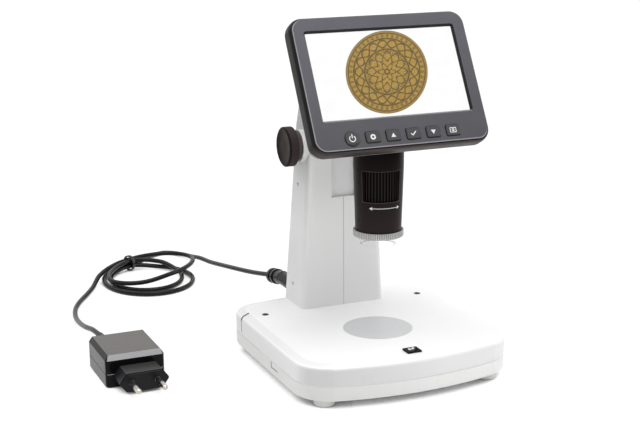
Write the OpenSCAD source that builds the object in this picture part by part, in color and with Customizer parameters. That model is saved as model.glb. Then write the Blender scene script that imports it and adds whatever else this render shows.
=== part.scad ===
// LCD digital microscope on a stand, with its power lead and mains adapter.
// Origin: on the table, under the middle of the base. +Z up, the screen faces -Y, +X to its right.

/* [Base] */
// Width of the base
base_w = 162; // [145:1:200]
// Depth of the base, front to back
base_d = 168; // [160:1:210]
// Height of the flat top above the table
base_h = 31; // [27:0.5:40]
// Radius of the slow curve along the front edge
base_front_bow_r = 240; // [220:10:800]
// Radius of the slow curve along the back edge
base_back_bow_r = 420; // [250:10:800]
// Corner radius at the front, seen from above
base_front_corner_r = 28; // [12:1:30]
// Corner radius at the back, seen from above
base_back_corner_r = 22; // [12:1:30]
// Rounding of the upper edge
base_edge_r = 3; // [1:0.5:5]
// Width of the sloping band inside the upper edge
base_band_w = 4.5; // [2:0.5:8]
// Drop of the sloping band from the flat top
base_band_drop = 0.7; // [0.2:0.1:1.5]
// Height of the parting line between cover and tray
base_split_h = 16.2; // [13:0.1:20]
// Wall thickness of the cover and the tray
base_wall = 2.4; // [1.6:0.1:3.2]
// Diameter of a foot
foot_d = 15; // [10:1:22]
// Height of the tray's underside above the table
foot_h = 5; // [3:0.5:8]
// Distance of the feet from the middle plane
foot_x = 63; // [50:1:66]
// Distance of the front feet in front of the middle
foot_front_y = 63; // [50:0.5:66]
// Distance of the back feet behind the middle
foot_back_y = 62; // [45:0.5:66]
// Shank diameter of a case screw
screw_d = 3; // [2:0.1:3.4]
// Head diameter of a case screw
screw_head_d = 5.6; // [4.4:0.1:6]
// Head height of a case screw
screw_head_h = 1.8; // [1.2:0.1:2.4]

/* [Stage] */
// Distance of the optical axis in front of the middle of the base
optic_front = 15.5; // [5:0.5:25]
// Diameter of the lit plate
stage_d = 50.2; // [40:0.2:60]
// Thickness of the lit plate
stage_t = 3; // [2:0.2:5]
// Width of the ledge that carries the lit plate
stage_ledge = 2.5; // [1.5:0.1:4]
// Distance of the clip holes from the middle plane
clip_x = 63.5; // [45:0.5:68]
// Distance of the clip holes behind the optical axis
clip_behind = 61; // [20:1:64]
// Bore of a clip bush
clip_bore_d = 3; // [2:0.1:4]
// Outer diameter of a clip bush
clip_bush_d = 5; // [4.2:0.1:7]
// Length of a clip bush
clip_bush_len = 8; // [5:0.5:12]
// Width of the light switch frame
switch_w = 10.5; // [10:0.5:16]
// Depth of the light switch frame, front to back
switch_d = 9; // [8:0.5:14]
// Height of the switch frame above the base
switch_proud = 1.2; // [0.6:0.1:2]
// Depth of the switch body in the base
switch_depth = 9; // [6:0.5:12]
// Distance of the switch in front of the optical axis
switch_front = 54.5; // [48:0.5:58]
// Angle from one end of the rocker's travel to the other
rocker_throw = 14; // [8:1:18]

/* [Column] */
// Height of the column's top above the table
column_top = 212; // [209:1:230]
// Distance of the column's front face behind the optical axis
column_front = 59.7; // [56:0.1:66]
// Half the column's width where it stands on the base
column_foot_x = 33.9; // [32:0.1:38]
// Half the column's width at its top
column_top_x = 25; // [24:0.1:31]
// Depth of the column where it stands on the base
column_foot_depth = 38.6; // [36:0.2:40]
// Depth of the column at the focus shaft
column_shaft_depth = 30.6; // [30:0.2:36]
// Depth of the column at its top
column_top_depth = 19; // [17:0.5:26]
// Radius of the column's upright edges
column_edge_r = 5; // [3:0.5:7]
// Wall thickness of the column
column_wall = 2.4; // [1.8:0.1:3]
// Width of the slot for the arm
slot_w = 19.4; // [16:0.2:22]
// Height of the slot's lower end above the table
slot_bottom = 115.5; // [112:0.5:125]
// Height of the slot's upper end above the table
slot_top = 206; // [204:0.5:208]
// Diameter of the screw recesses in the left side
column_recess_d = 3.4; // [3:0.1:5]
// Diameter of a screw that joins the column's halves
column_screw_d = 2.4; // [2:0.1:2.8]
// Height of the lower column screw
column_screw_low = 46; // [42:1:60]
// Height of the upper column screw
column_screw_high = 124; // [110:1:130]

/* [Focus drive] */
// Height of the focus shaft above the table
shaft_h = 154.4; // [150:0.2:158]
// Diameter of the focus shaft
shaft_d = 4; // [3:0.5:5]
// Diameter of a focus knob
knob_d = 29.8; // [24:0.2:34]
// Width of a knob's knurled rim
knob_rim_w = 7.6; // [5:0.2:10]
// Diameter of a knob's collar
knob_collar_d = 22; // [16:0.5:26]
// Width of a knob's collar
knob_collar_w = 3.6; // [2:0.2:5]
// Diameter of the column's boss behind the knob
shaft_boss_d = 24; // [18:0.5:28]
// Distance of the boss's face from the middle plane
shaft_boss_x = 31.4; // [29:0.2:34]
// Module of the pinion and the rack
gear_module = 0.8; // [0.7:0.05:0.85]
// Teeth on the pinion
pinion_teeth = 15; // [14:1:15]
// Width of the pinion and the rack
gear_w = 8; // [5:0.5:9]
// Diameter of a guide rod
rod_d = 4; // [3:0.5:4.5]
// Distance of the guide rods from the middle plane
rod_x = 14; // [13.5:0.1:16]
// Travel of the head upwards
travel_up = 10; // [2:1:10]
// Travel of the head downwards
travel_down = 35; // [10:1:35]

/* [Head] */
// Outer diameter of the barrel at its top
barrel_top_d = 35.8; // [32:0.2:40]
// Outer diameter of the barrel at its lower end
barrel_low_d = 32.8; // [31:0.2:36]
// Height of the barrel's lower end above the table
barrel_low = 104.5; // [100:0.5:110]
// Height where the barrel stops widening
barrel_straight = 151; // [148:0.5:156]
// Height of the barrel's upper end above the table
barrel_top = 170; // [168:0.5:174]
// Lower edge of the window on the dial
window_low = 127.7; // [122:0.1:130]
// Upper edge of the window on the dial
window_high = 149.8; // [144:0.1:151]
// Angle that the window spans
window_span = 97; // [60:1:120]
// Turn of the window's middle to the left of the front
window_turn = 17.5; // [0:0.5:30]
// Diameter of the dial over its ribs
dial_d = 30; // [28:0.2:30.4]
// Ribs round the dial
dial_ribs = 42; // [24:1:60]
// Diameter over the clear cap's knurled ring
cap_ring_d = 36; // [35:0.2:40]
// Height of the clear cap's knurled ring
cap_ring_h = 4.3; // [3:0.1:6]
// Height of the clear cap's skirt below its ring
cap_skirt_h = 5.9; // [3:0.1:10]
// Upper diameter of the clear cap's skirt
cap_skirt_top_d = 31; // [29:0.2:33]
// Lower diameter of the clear cap's skirt
cap_skirt_low_d = 26; // [22:0.2:29]
// Half the width of the head block
head_half_w = 21.5; // [20:0.5:26]
// Height of the head block's underside
head_low = 166; // [164:0.5:167]
// Height of the head block's top
head_high = 199; // [195:0.5:200]
// Distance of the head block's back behind the optical axis
head_back = 23.5; // [21:0.5:30]
// Wall thickness of the head block
head_wall = 2.4; // [1.8:0.1:3]
// Height of the arm's underside
arm_low = 168; // [167:0.5:172]
// Height of the arm's top
arm_high = 192; // [186:0.5:194]

/* [Display] */
// Width of the visible screen
screen_w = 110.7; // [100:0.1:120]
// Height of the visible screen
screen_h = 62.3; // [56:0.1:66]
// Height of the screen's middle above the table
screen_z = 218.5; // [214:0.5:226]
// Distance of the screen's middle in front of the optical axis
screen_front = 14.8; // [12:0.2:20]
// Lean of the screen from upright
recline = 29.3; // [26:0.1:34]
// Width of the bezel beside the screen
bezel_side = 11.1; // [10:0.1:14]
// Width of the bezel above the screen
bezel_top = 11.6; // [10:0.1:14]
// Width of the bezel below the screen
bezel_bottom = 23.6; // [22:0.1:30]
// Corner radius of the display
display_corner_r = 10; // [6:0.5:12]
// Height of the bezel's face above the glass
bezel_rise = 1.8; // [1:0.1:3]
// Depth of the bezel behind the glass's face
bezel_depth = 8; // [7.6:0.1:10]
// Depth of the back cover behind the bezel
back_depth = 7.5; // [7.2:0.1:10]
// Inset of the back cover's rear face from its rim
back_taper = 2.6; // [1:0.1:4]
// Wall thickness of the display's covers
display_wall = 2.2; // [1.8:0.1:2.6]
// Distance of the hinge axis behind the back cover
hinge_back = 9; // [8:0.1:11]
// Diameter of the hinge pin
hinge_pin_d = 4; // [3:0.1:5]
// Outer diameter of the hinge eyes
hinge_eye_d = 12; // [9:0.5:13]
// Width of the hinge knuckle on the head
hinge_knuckle_w = 14; // [10:0.5:18]
// Width of each hinge ear on the display
hinge_ear_w = 6.5; // [4:0.5:8]
// Tilt of the display towards upright
tilt_up = 8; // [0:1:8]

/* [Buttons] */
// Distance between neighbouring buttons
button_pitch = 15.1; // [13:0.1:16]
// Width of a rectangular button
button_w = 10.6; // [8:0.1:11.5]
// Height of a rectangular button
button_h = 7.8; // [6:0.1:9]
// Diameter of the power button
power_button_d = 10.4; // [8:0.1:11]
// Distance of the row of buttons below the screen
button_drop = 14.2; // [12:0.1:16]
// Height of a button above the bezel
button_proud = 0.6; // [0.5:0.1:1.2]
// Travel of a button
button_travel = 0.5; // [0.3:0.1:0.5]

/* [Power lead] */
// Diameter of the power lead
cord_d = 4; // [3:0.1:5]
// Distance of the power socket from the middle plane
socket_x = 25; // [20:0.5:26]
// Height of the power socket above the base
socket_rise = 7; // [6.5:0.5:17]
// Diameter of the plug's grip
plug_grip_d = 12.4; // [9:0.1:13]
// Length of the plug's grip
plug_grip_len = 23; // [16:1:26]
// Length of the plug's boot
plug_boot_len = 26; // [18:1:28]
// Droop of the boot behind the grip
plug_droop = 10; // [0:1:14]

/* [Adapter] */
// Width of the adapter
adapter_w = 43; // [38:0.5:52]
// Length of the adapter without its mains plug
adapter_len = 49; // [42:0.5:60]
// Height of the adapter
adapter_h = 23.5; // [21:0.5:32]
// Height of the adapter's parting line
adapter_split = 10; // [8:0.5:12]
// Width of the chamfer round the adapter's top
adapter_chamfer = 3.6; // [2:0.2:5]
// Wall thickness of the adapter
adapter_wall = 2; // [1.5:0.1:3]
// Width of the mains plug's body
mains_w = 35.3; // [35:0.1:36]
// Height of the mains plug's body
mains_h = 13.7; // [13:0.1:14]
// Length of the mains plug's body
mains_len = 18; // [14:0.5:22]
// Diameter of a mains pin
pin_d = 4; // [3.9:0.05:4.1]
// Length of a mains pin outside the plug
pin_len = 19; // [18:0.5:20]
// Distance between the mains pins
pin_pitch = 18.6; // [17.5:0.1:19]
// Length of the sleeve on a mains pin
sleeve_len = 10; // [9:0.5:11]

/* [Clearances] */
// Gap between pieces that move past each other
gap = 0.3; // [0.25:0.05:0.5]
// Radial clearance of a shaft or a pin in its bore
fit = 0.05; // [0.02:0.01:0.1]

/* [Hidden] */
$fn = 64;

// A length past any face, so that a cut goes through
through = 60;
// The least step that keeps a cut's face off a solid's face
nick = 0.01;

optic_y = -optic_front;
column_y = optic_y + column_front;
socket_h = base_h + socket_rise;
board_t = 1.6;

// ---- plain shapes

function arc(c, r, from, to, steps) =
    [for (i = [0:steps]) let (a = from + (to - from) * i / steps) c + r * [cos(a), sin(a)]];

function at_height(outline, z) = [for (p = outline) [p[0], p[1], z]];

// Rounded rectangle centred on c, counter-clockwise, drawn in by inset
function rounded(c, size, r, inset, steps = 5) =
    let (x = size[0] / 2 - r, y = size[1] / 2 - r, q = max(r - inset, nick))
    concat(
        arc(c + [x, -y], q, -90, 0, steps), arc(c + [x, y], q, 0, 90, steps),
        arc(c + [-x, y], q, 90, 180, steps), arc(c + [-x, -y], q, 180, 270, steps));

// Closed solid through rings of as many points each, lowest ring first
module loft(rings) {
    n = len(rings[0]);
    last = (len(rings) - 1) * n;
    polyhedron(
        points = [for (ring = rings) each ring],
        faces = concat(
            [[for (i = [0:n - 1]) i]],
            [[for (i = [n - 1:-1:0]) last + i]],
            [for (j = [0:len(rings) - 2], i = [0:n - 1])
                let (a = j * n + i, b = j * n + (i + 1) % n)
                each [[a, a + n, b + n], [a, b + n, b]]]));
}

module tube(r_out, r_in, h) {
    difference() {
        cylinder(r = r_out, h = h);
        translate([0, 0, -nick]) cylinder(r = r_in, h = h + 2 * nick);
    }
}

module block(size, at) { translate(at) cube(size, center = true); }

module along_x(at) { translate(at) rotate([0, 90, 0]) children(); }

module along_y(at) { translate(at) rotate([-90, 0, 0]) children(); }

module both_sides() { for (side = [0, 1]) mirror([side, 0, 0]) children(); }

// Screw with its head's seat at z = 0 and its shank going up
module screw(d, head_d, head_h, shank) {
    cylinder(d = d, h = shank);
    difference() {
        translate([0, 0, -head_h]) cylinder(d = head_d, h = head_h);
        for (turn = [0, 90])
            translate([0, 0, -head_h]) rotate(turn) cube([head_d * 0.6, 0.7, 1], center = true);
    }
}

// ---- base

function bow_corner(r, bow_r, edge) =
    let (x = base_w / 2 - r) [x, edge - bow_r + sqrt(pow(bow_r - r, 2) - x * x)];

function bow_angle(r, bow_r) = asin((base_w / 2 - r) / (bow_r - r));

// Outline of the base from above, counter-clockwise, drawn in by inset
function base_outline(inset) =
    let (
        rear = bow_corner(base_back_corner_r, base_back_bow_r, base_d / 2),
        front = bow_corner(base_front_corner_r, base_front_bow_r, base_d / 2),
        rear_a = bow_angle(base_back_corner_r, base_back_bow_r),
        front_a = bow_angle(base_front_corner_r, base_front_bow_r),
        rear_r = base_back_corner_r - inset,
        front_r = base_front_corner_r - inset)
    concat(
        arc([0, -base_d / 2 + base_front_bow_r], base_front_bow_r - inset, 270 - front_a, 270 + front_a, 10),
        arc([front[0], -front[1]], front_r, 276 + front_a, 360, 6),
        arc([rear[0], rear[1]], rear_r, 0, 84 - rear_a, 6),
        arc([0, base_d / 2 - base_back_bow_r], base_back_bow_r - inset, 90 - rear_a, 90 + rear_a, 10),
        arc([-rear[0], rear[1]], rear_r, 96 + rear_a, 180, 6),
        arc([-front[0], -front[1]], front_r, 180, 264 - front_a, 6));

// The parting line is a shallow groove
split_groove = 0.4;
edge_steps = [for (a = [0:18:90]) a];
base_shoulder = base_h - base_band_drop;
base_floor = foot_h + base_wall;
foot_sink = 1;
post_r = screw_d / 2 + 2;

// Feet, each [x, y]
feet = [for (x = [-foot_x, foot_x], y = [-foot_front_y, foot_back_y]) [x, y]];
// Case screws stand inside the feet, each [x, y]
case_screws = [for (x = [-1, 1], y = [-foot_front_y, foot_back_y]) [x * (foot_x - foot_d), y * 0.94]];
// Screws that hold the column, each [x, y]
column_screw_x = column_foot_x - column_wall - post_r + 0.5;
column_feet = [for (x = [-column_screw_x, column_screw_x],
                    y = [column_wall + post_r + 2.1, column_foot_depth / 2 - 0.3]) [x, column_y + y]];
column_post_h = 12;

module base_cover() {
    color("white") difference() {
        union() {
            difference() {
                loft(concat(
                    [at_height(base_outline(split_groove), base_split_h),
                     at_height(base_outline(0), base_split_h + split_groove)],
                    [for (a = edge_steps)
                        at_height(base_outline(base_edge_r * (1 - cos(a))),
                                  base_shoulder - base_edge_r * (1 - sin(a)))],
                    [at_height(base_outline(base_edge_r + base_band_w), base_h)]));
                translate([0, 0, base_split_h - 1])
                    linear_extrude(base_h - base_wall - base_split_h + 1) polygon(base_outline(base_wall));
            }
            for (p = case_screws)
                translate([p[0], p[1], base_split_h])
                    cylinder(r = post_r, h = base_h - base_wall - base_split_h + 1);
            for (x = [-clip_x, clip_x])
                translate([x, optic_y + clip_behind, base_h - clip_bush_len])
                    cylinder(d = clip_bush_d + 3, h = clip_bush_len - 1);
        }
        for (p = case_screws)
            translate([p[0], p[1], base_split_h - 1])
                cylinder(d = screw_d + 2 * fit, h = base_h - base_wall - base_split_h);
        for (p = column_feet)
            translate([p[0], p[1], base_h - base_wall - 1])
                cylinder(d = screw_d + 2 * gap, h = base_wall + 2);
        translate([0, optic_y, base_h - stage_t]) cylinder(d = stage_d + 2 * fit, h = stage_t + 1);
        translate([0, optic_y, base_h - stage_t - 3]) cylinder(d = stage_d - 2 * stage_ledge, h = 4);
        for (x = [-clip_x, clip_x])
            translate([x, optic_y + clip_behind, base_h - clip_bush_len - 1])
                cylinder(d = clip_bush_d + 2 * fit, h = clip_bush_len + 2);
        block([switch_w - 2 + 2 * fit, switch_d - 2 + 2 * fit, through], [0, optic_y - switch_front, base_h]);
    }
}

tray_edge = 2.5;
board_seat = 12;

module base_tray() {
    color("gainsboro") difference() {
        union() {
            difference() {
                loft([
                    at_height(base_outline(tray_edge), foot_h),
                    at_height(base_outline(tray_edge / 3), foot_h + tray_edge / 3),
                    at_height(base_outline(0), foot_h + tray_edge),
                    at_height(base_outline(0), base_split_h - split_groove),
                    at_height(base_outline(split_groove), base_split_h)]);
                translate([0, 0, base_floor])
                    linear_extrude(base_split_h) polygon(base_outline(base_wall + tray_edge / 3));
            }
            for (p = case_screws)
                translate([p[0], p[1], foot_h]) cylinder(r = post_r, h = base_split_h - foot_h);
            translate([0, optic_y, base_floor - 1])
                tube(stage_d / 2 - 4, stage_d / 2 - 6, board_seat - base_floor + 1);
        }
        for (p = case_screws) translate([p[0], p[1], foot_h - 1]) {
            cylinder(d = screw_d + 2 * gap, h = base_split_h);
            cylinder(d = screw_head_d + 2 * gap, h = screw_head_h + 1 + gap);
        }
        for (p = feet) translate([p[0], p[1], 0]) cylinder(d = foot_d + 2 * fit, h = foot_h + foot_sink);
    }
}

module base_feet() {
    color("lightgray") for (p = feet) translate([p[0], p[1], 0]) {
        cylinder(d1 = foot_d - 1.6, d2 = foot_d, h = 1);
        translate([0, 0, 1]) cylinder(d = foot_d, h = foot_h + foot_sink - 1);
    }
}

module base_screws() {
    color("silver") for (p = case_screws)
        translate([p[0], p[1], foot_h + screw_head_h + gap])
            screw(screw_d, screw_head_d, screw_head_h, base_split_h - foot_h - screw_head_h - gap + 4.9);
}

// ---- stage

module stage_plate() {
    color("lightgray") translate([0, optic_y, base_h - stage_t]) cylinder(d = stage_d, h = stage_t);
}

stage_lamps = 8;
stage_lamp_r = 12;

module stage_light_board() {
    color("seagreen") translate([0, optic_y, board_seat]) cylinder(r = stage_d / 2 - 3.5, h = board_t);
    color("gold") translate([0, optic_y, board_seat + board_t]) {
        for (i = [1:stage_lamps])
            rotate(360 * i / stage_lamps) block([2.8, 3.5, 1.9], [stage_lamp_r, 0, 0.95]);
    }
}

switch_y = optic_y - switch_front;
rocker_w = switch_w - 4.4;
rocker_d = switch_d - 4;
rocker_axis_z = base_h - 0.6;
rocker_r = rocker_w / 2;
rocker_pin_r = 0.6;
rocker_pin_half = rocker_d / 2 + gap + 0.6;

module light_switch_frame() {
    color("#18181a") difference() {
        union() {
            block([switch_w, switch_d, switch_proud], [0, switch_y, base_h + switch_proud / 2]);
            block([switch_w - 2, switch_d - 2, switch_depth],
                  [0, switch_y, base_h - switch_depth / 2 + nick]);
        }
        block([rocker_w + 2 * gap + 0.2, rocker_d + 2 * gap, 2 * (switch_depth - 1.6)],
              [0, switch_y, base_h + switch_proud]);
        along_y([0, switch_y - switch_d / 2 + 0.5, rocker_axis_z])
            cylinder(r = rocker_pin_r + fit, h = switch_d - 1);
    }
}

// Rocker with two faces that meet over its axis, at one end of its travel
module light_switch_rocker() {
    color("#3a3a3e") translate([0, switch_y, rocker_axis_z]) rotate([0, -rocker_throw / 2, 0])
        rotate([90, 0, 0]) translate([0, 0, -rocker_d / 2]) linear_extrude(rocker_d) intersection() {
            circle(r = rocker_r);
            polygon([[-rocker_r, 2.6], [0, 1.9], [rocker_r, 2.6], [rocker_r, -2],
                     [1, -rocker_r], [-1, -rocker_r], [-rocker_r, -2]]);
        }
    color("silver") along_y([0, switch_y - rocker_pin_half, rocker_axis_z])
        cylinder(r = rocker_pin_r, h = 2 * rocker_pin_half);
}

module clip_bushes() {
    color("silver") for (x = [-clip_x, clip_x])
        translate([x, optic_y + clip_behind, base_h - clip_bush_len])
            tube(clip_bush_d / 2, clip_bore_d / 2, clip_bush_len + 0.2);
}

// ---- column

column_crown = 6;
function column_half(z) =
    column_foot_x + (column_top_x - column_foot_x) * (z - base_h) / (column_top - base_h);
// Depth of the column at a height, by three straight stretches
knee_h = shaft_h + 14;
function column_depth(z) =
    let (
        lean = (column_shaft_depth - column_foot_depth) / (shaft_h - base_h),
        at_knee = column_foot_depth + lean * (knee_h - base_h))
    z < knee_h ? column_foot_depth + lean * (z - base_h)
               : at_knee + (column_top_depth - at_knee) * (z - knee_h) / (column_top - knee_h);

function column_ring(z, inset, height) =
    let (depth = column_depth(z))
    at_height(rounded([0, column_y + depth / 2], [2 * column_half(z), depth], column_edge_r, inset), height);

column_levels = [base_h, shaft_h - 60, shaft_h - 20, knee_h, knee_h + 12, column_top - column_crown];

// The column as one solid, drawn in by inset all round and at its top
module column_solid(inset) {
    loft(concat(
        [for (z = column_levels)
            column_ring(z, inset, z == base_h ? base_h - (inset > 0 ? 1 : 0) : z - (z > knee_h ? inset : 0))],
        [for (a = [30:30:90])
            column_ring(column_top - column_crown * (1 - sin(a)), inset + column_crown * 0.7 * (1 - cos(a)),
                        column_top - column_crown * (1 - sin(a)) - inset)]));
}

shaft_y = column_y + 13.3;
shaft_bore_r = shaft_d / 2 + fit;
bush_r = shaft_d / 2 + 2;
bush_len = 7;
column_inner_y = column_y + column_wall;
slider_y = column_inner_y + gap + 0.1;
slider_t = 2.2;
rod_y = column_inner_y + 4.2;
slider_low = slot_bottom - travel_up - 1.5;
// The rods reach past the slider's lowest place
rod_low = slider_low - travel_down - 7;
rod_high = column_top - column_wall - 2;
rod_boss_r = rod_d / 2 + 1.6;
screw_tunnel_r = column_recess_d / 2 + 1.4;
screw_seat_x = 12;

// Places of the screws that join the halves, each [y, z]
column_joints = [[column_y + 21, column_screw_low], [column_y + 18.4, column_screw_high]];

function column_back(z) = column_y + column_depth(z);
socket_y = column_back(socket_h);
socket_r = 4.6;

module column_shell() {
    difference() {
        union() {
            difference() {
                column_solid(0);
                column_solid(column_wall);
            }
            along_x([-shaft_boss_x, shaft_y, shaft_h]) difference() {
                cylinder(d = shaft_boss_d, h = 2 * shaft_boss_x);
                translate([0, 0, shaft_boss_x - column_half(shaft_h) + column_wall])
                    cylinder(d = shaft_boss_d + 1, h = 2 * (column_half(shaft_h) - column_wall));
            }
            both_sides() along_x([column_half(shaft_h) - column_wall - 5, shaft_y, shaft_h])
                cylinder(r = bush_r + 1.8, h = 6);
            intersection() {
                column_solid(column_wall / 2);
                union() {
                    for (p = column_joints) along_x([-column_foot_x, p[0], p[1]])
                        cylinder(r = screw_tunnel_r, h = 2 * column_foot_x);
                    for (p = column_feet)
                        translate([p[0], p[1], base_h]) cylinder(r = post_r, h = column_post_h);
                    both_sides() translate([rod_x, rod_y, 0]) {
                        translate([0, 0, rod_low - 6]) cylinder(r = rod_boss_r, h = 8);
                        block([2 * rod_boss_r, 3, 8], [0, -rod_boss_r, rod_low - 2]);
                        translate([0, 0, rod_high - 2]) cylinder(r = rod_boss_r, h = 8);
                    }
                }
            }
        }
        along_x([-through, shaft_y, shaft_h]) cylinder(r = bush_r + fit, h = 2 * through);
        block([slot_w, 4 * column_wall, slot_top - slot_bottom],
              [0, column_y, (slot_top + slot_bottom) / 2]);
        for (p = column_joints) along_x([-column_foot_x - 1, p[0], p[1]]) {
            cylinder(d = column_recess_d, h = column_foot_x + 1 - screw_seat_x);
            cylinder(d = column_screw_d + 2 * fit, h = column_foot_x + 1 + screw_seat_x);
        }
        for (p = column_feet)
            translate([p[0], p[1], base_h - 1]) cylinder(d = screw_d + 2 * fit, h = column_post_h);
        both_sides() translate([rod_x, rod_y, rod_low]) cylinder(d = rod_d + 2 * fit, h = rod_high - rod_low);
        along_y([-socket_x, socket_y - 8, socket_h]) cylinder(r = socket_r + fit, h = through);
    }
}

// The halves meet on the middle plane, with a hair line between them
seam_half = 0.04;

module column_part(side) {
    intersection() {
        column_shell();
        block([2 * through, 4 * through, 8 * through], [side * (through + seam_half), 0, 0]);
    }
}

module column_left() { color("white") column_part(-1); }

module column_right() { color("white") column_part(1); }

module column_screws() {
    color("silver") {
        for (p = column_joints) along_x([-screw_seat_x, p[0], p[1]])
            screw(column_screw_d, column_recess_d - 2 * fit, 1.4, 2 * screw_seat_x - 2);
        for (p = column_feet)
            translate([p[0], p[1], base_h - base_wall]) screw(screw_d, screw_head_d, screw_head_h, 11);
    }
}

module guide_rods() {
    color("silver") both_sides()
        translate([rod_x, rod_y, rod_low]) cylinder(d = rod_d, h = rod_high - rod_low);
}

module shaft_bushes() {
    color("goldenrod") both_sides() along_x([shaft_boss_x - bush_len, shaft_y, shaft_h])
        tube(bush_r, shaft_bore_r, bush_len);
}

jack_bore_r = 2.75;

module power_socket() {
    color("#222222") along_y([-socket_x, socket_y - 13, socket_h]) difference() {
        union() {
            cylinder(r = socket_r, h = 12.6);
            translate([0, 0, 12.6]) cylinder(r = socket_r, h = 0.6);
        }
        translate([0, 0, 3]) cylinder(r = jack_bore_r + fit, h = 12);
    }
}

// ---- focus drive

pitch_r = gear_module * pinion_teeth / 2;
pressure = 25;
addendum = 0.8 * gear_module;
dedendum = 1.05 * gear_module;
backlash = 0.16;
root_r = pitch_r - dedendum;
tip_r = pitch_r + addendum;
gear_base_r = pitch_r * cos(pressure);

function involute(r) = let (a = acos(min(1, gear_base_r / r))) tan(a) * 180 / PI - a;
// Half the angle that a tooth takes at radius r
function tooth_half(r) =
    (90 / pinion_teeth) - backlash / 4 / pitch_r * 180 / PI
    + involute(pitch_r) - involute(max(r, gear_base_r));

flank = [for (i = [0:4]) let (from = max(root_r, gear_base_r)) from + (tip_r - from) * i / 4];

function tooth(mid) = concat(
    [root_r * [cos(mid - tooth_half(gear_base_r)), sin(mid - tooth_half(gear_base_r))]],
    [for (r = flank) r * [cos(mid - tooth_half(r)), sin(mid - tooth_half(r))]],
    [for (i = [4:-1:0]) let (r = flank[i]) r * [cos(mid + tooth_half(r)), sin(mid + tooth_half(r))]],
    [root_r * [cos(mid + tooth_half(gear_base_r)), sin(mid + tooth_half(gear_base_r))]]);

module focus_shaft() {
    shaft_half = shaft_boss_x + gap + knob_collar_w + knob_rim_w - 2;
    color("silver") along_x([-shaft_half, shaft_y, shaft_h]) cylinder(d = shaft_d, h = 2 * shaft_half);
}

// One tooth of the pinion points at the rack, towards the front
module focus_pinion() {
    color("goldenrod") along_x([-gear_w / 2, shaft_y, shaft_h]) rotate(90) linear_extrude(gear_w)
        difference() {
            polygon([for (i = [0:pinion_teeth - 1]) each tooth(180 + i * 360 / pinion_teeth)]);
            circle(r = shaft_d / 2 + nick);
        }
}

knurls = 60;
knurl_h = 0.35;
knob_inner_x = shaft_boss_x + gap;

// Disc with small upright ribs round it
module knurled(r, h, count, rib) {
    linear_extrude(h) polygon([for (i = [0:count - 1]) let (a = 360 / count)
        each [r * [cos(i * a), sin(i * a)], (r - rib) * [cos((i + 0.5) * a), sin((i + 0.5) * a)]]]);
}

module focus_knob() {
    along_x([knob_inner_x, shaft_y, shaft_h]) difference() {
        union() {
            cylinder(d = knob_collar_d, h = knob_collar_w);
            translate([0, 0, knob_collar_w]) cylinder(d1 = knob_d - 2.4, d2 = knob_d - 1.4, h = 0.8);
            translate([0, 0, knob_collar_w + 0.8]) knurled(knob_d / 2, knob_rim_w - 1.8, knurls, knurl_h);
            translate([0, 0, knob_collar_w + knob_rim_w - 1])
                cylinder(d1 = knob_d - 1.4, d2 = knob_d - 2.8, h = 1);
        }
        translate([0, 0, -1]) cylinder(r = shaft_d / 2 + nick, h = knob_collar_w + knob_rim_w - 1);
    }
}

module focus_knob_left() { color("#2a2624") mirror([1, 0, 0]) focus_knob(); }

module focus_knob_right() { color("#2a2624") focus_knob(); }

slider_high = column_top - column_wall - travel_up - 4.6;
slider_bush_h = 10;
slider_bush_r = rod_d / 2 + 1.6;
arm_w = slot_w - 2 * gap;
head_back_y = optic_y + head_back;

// Slider behind the column's front wall, with the arm that carries the head
module focus_carriage() {
    color("whitesmoke") difference() {
        union() {
            block([2 * rod_x, slider_t, slider_high - slider_low],
                  [0, slider_y + slider_t / 2, (slider_high + slider_low) / 2]);
            both_sides() for (z = [slider_low, slider_high - slider_bush_h])
                translate([rod_x, rod_y, z]) cylinder(r = slider_bush_r, h = slider_bush_h);
            block([arm_w, slider_y - head_back_y + nick, arm_high - arm_low],
                  [0, (slider_y + head_back_y) / 2, (arm_high + arm_low) / 2]);
        }
        both_sides() translate([rod_x, rod_y, slider_low - 1])
            cylinder(d = rod_d + 2 * fit, h = slider_high - slider_low + 2);
        for (x = arm_screw_x)
            along_y([x, head_back_y - 1, arm_screw_z]) cylinder(d = 2 + 2 * fit, h = arm_screw_len + 1);
    }
}

rack_line = shaft_y - pitch_r;
rack_pitch = PI * gear_module;
rack_low = shaft_h - travel_up - 6;
rack_high = shaft_h + travel_down + 6;
rack_teeth_up = floor((rack_high - shaft_h) / rack_pitch) - 1;
rack_teeth_down = floor((shaft_h - rack_low) / rack_pitch) - 1;

// Rack with a gap between two teeth at the height of the shaft
module focus_rack() {
    half_tip = rack_pitch / 4 - backlash / 4 - addendum * tan(pressure);
    half_root = rack_pitch / 4 - backlash / 4 + dedendum * tan(pressure);
    back = slider_y + slider_t;
    color("goldenrod") translate([-gear_w / 2, 0, 0]) rotate([90, 0, 90]) linear_extrude(gear_w)
        polygon(concat(
            [[back, rack_low], [rack_line - dedendum, rack_low]],
            [for (i = [-rack_teeth_down:rack_teeth_up]) let (z = shaft_h + (i - 0.5) * rack_pitch)
                each [[rack_line - dedendum, z - half_root], [rack_line + addendum, z - half_tip],
                      [rack_line + addendum, z + half_tip], [rack_line - dedendum, z + half_root]]],
            [[rack_line - dedendum, rack_high], [back, rack_high]]));
}

// ---- head

screen_y = optic_y - screen_front;
display_w = screen_w + 2 * bezel_side;
display_h = screen_h + bezel_top + bezel_bottom;
display_mid = [0, (bezel_top - bezel_bottom) / 2];
back_face = -bezel_depth - back_depth;
hinge_axis = back_face - hinge_back;
hinge_y = screen_y - cos(recline) * hinge_axis;
hinge_z = screen_z + sin(recline) * hinge_axis;

// Frame of the display: x along the screen, y up the screen, z out of the glass
module on_display() { translate([0, screen_y, screen_z]) rotate([90 - recline, 0, 0]) children(); }

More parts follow.
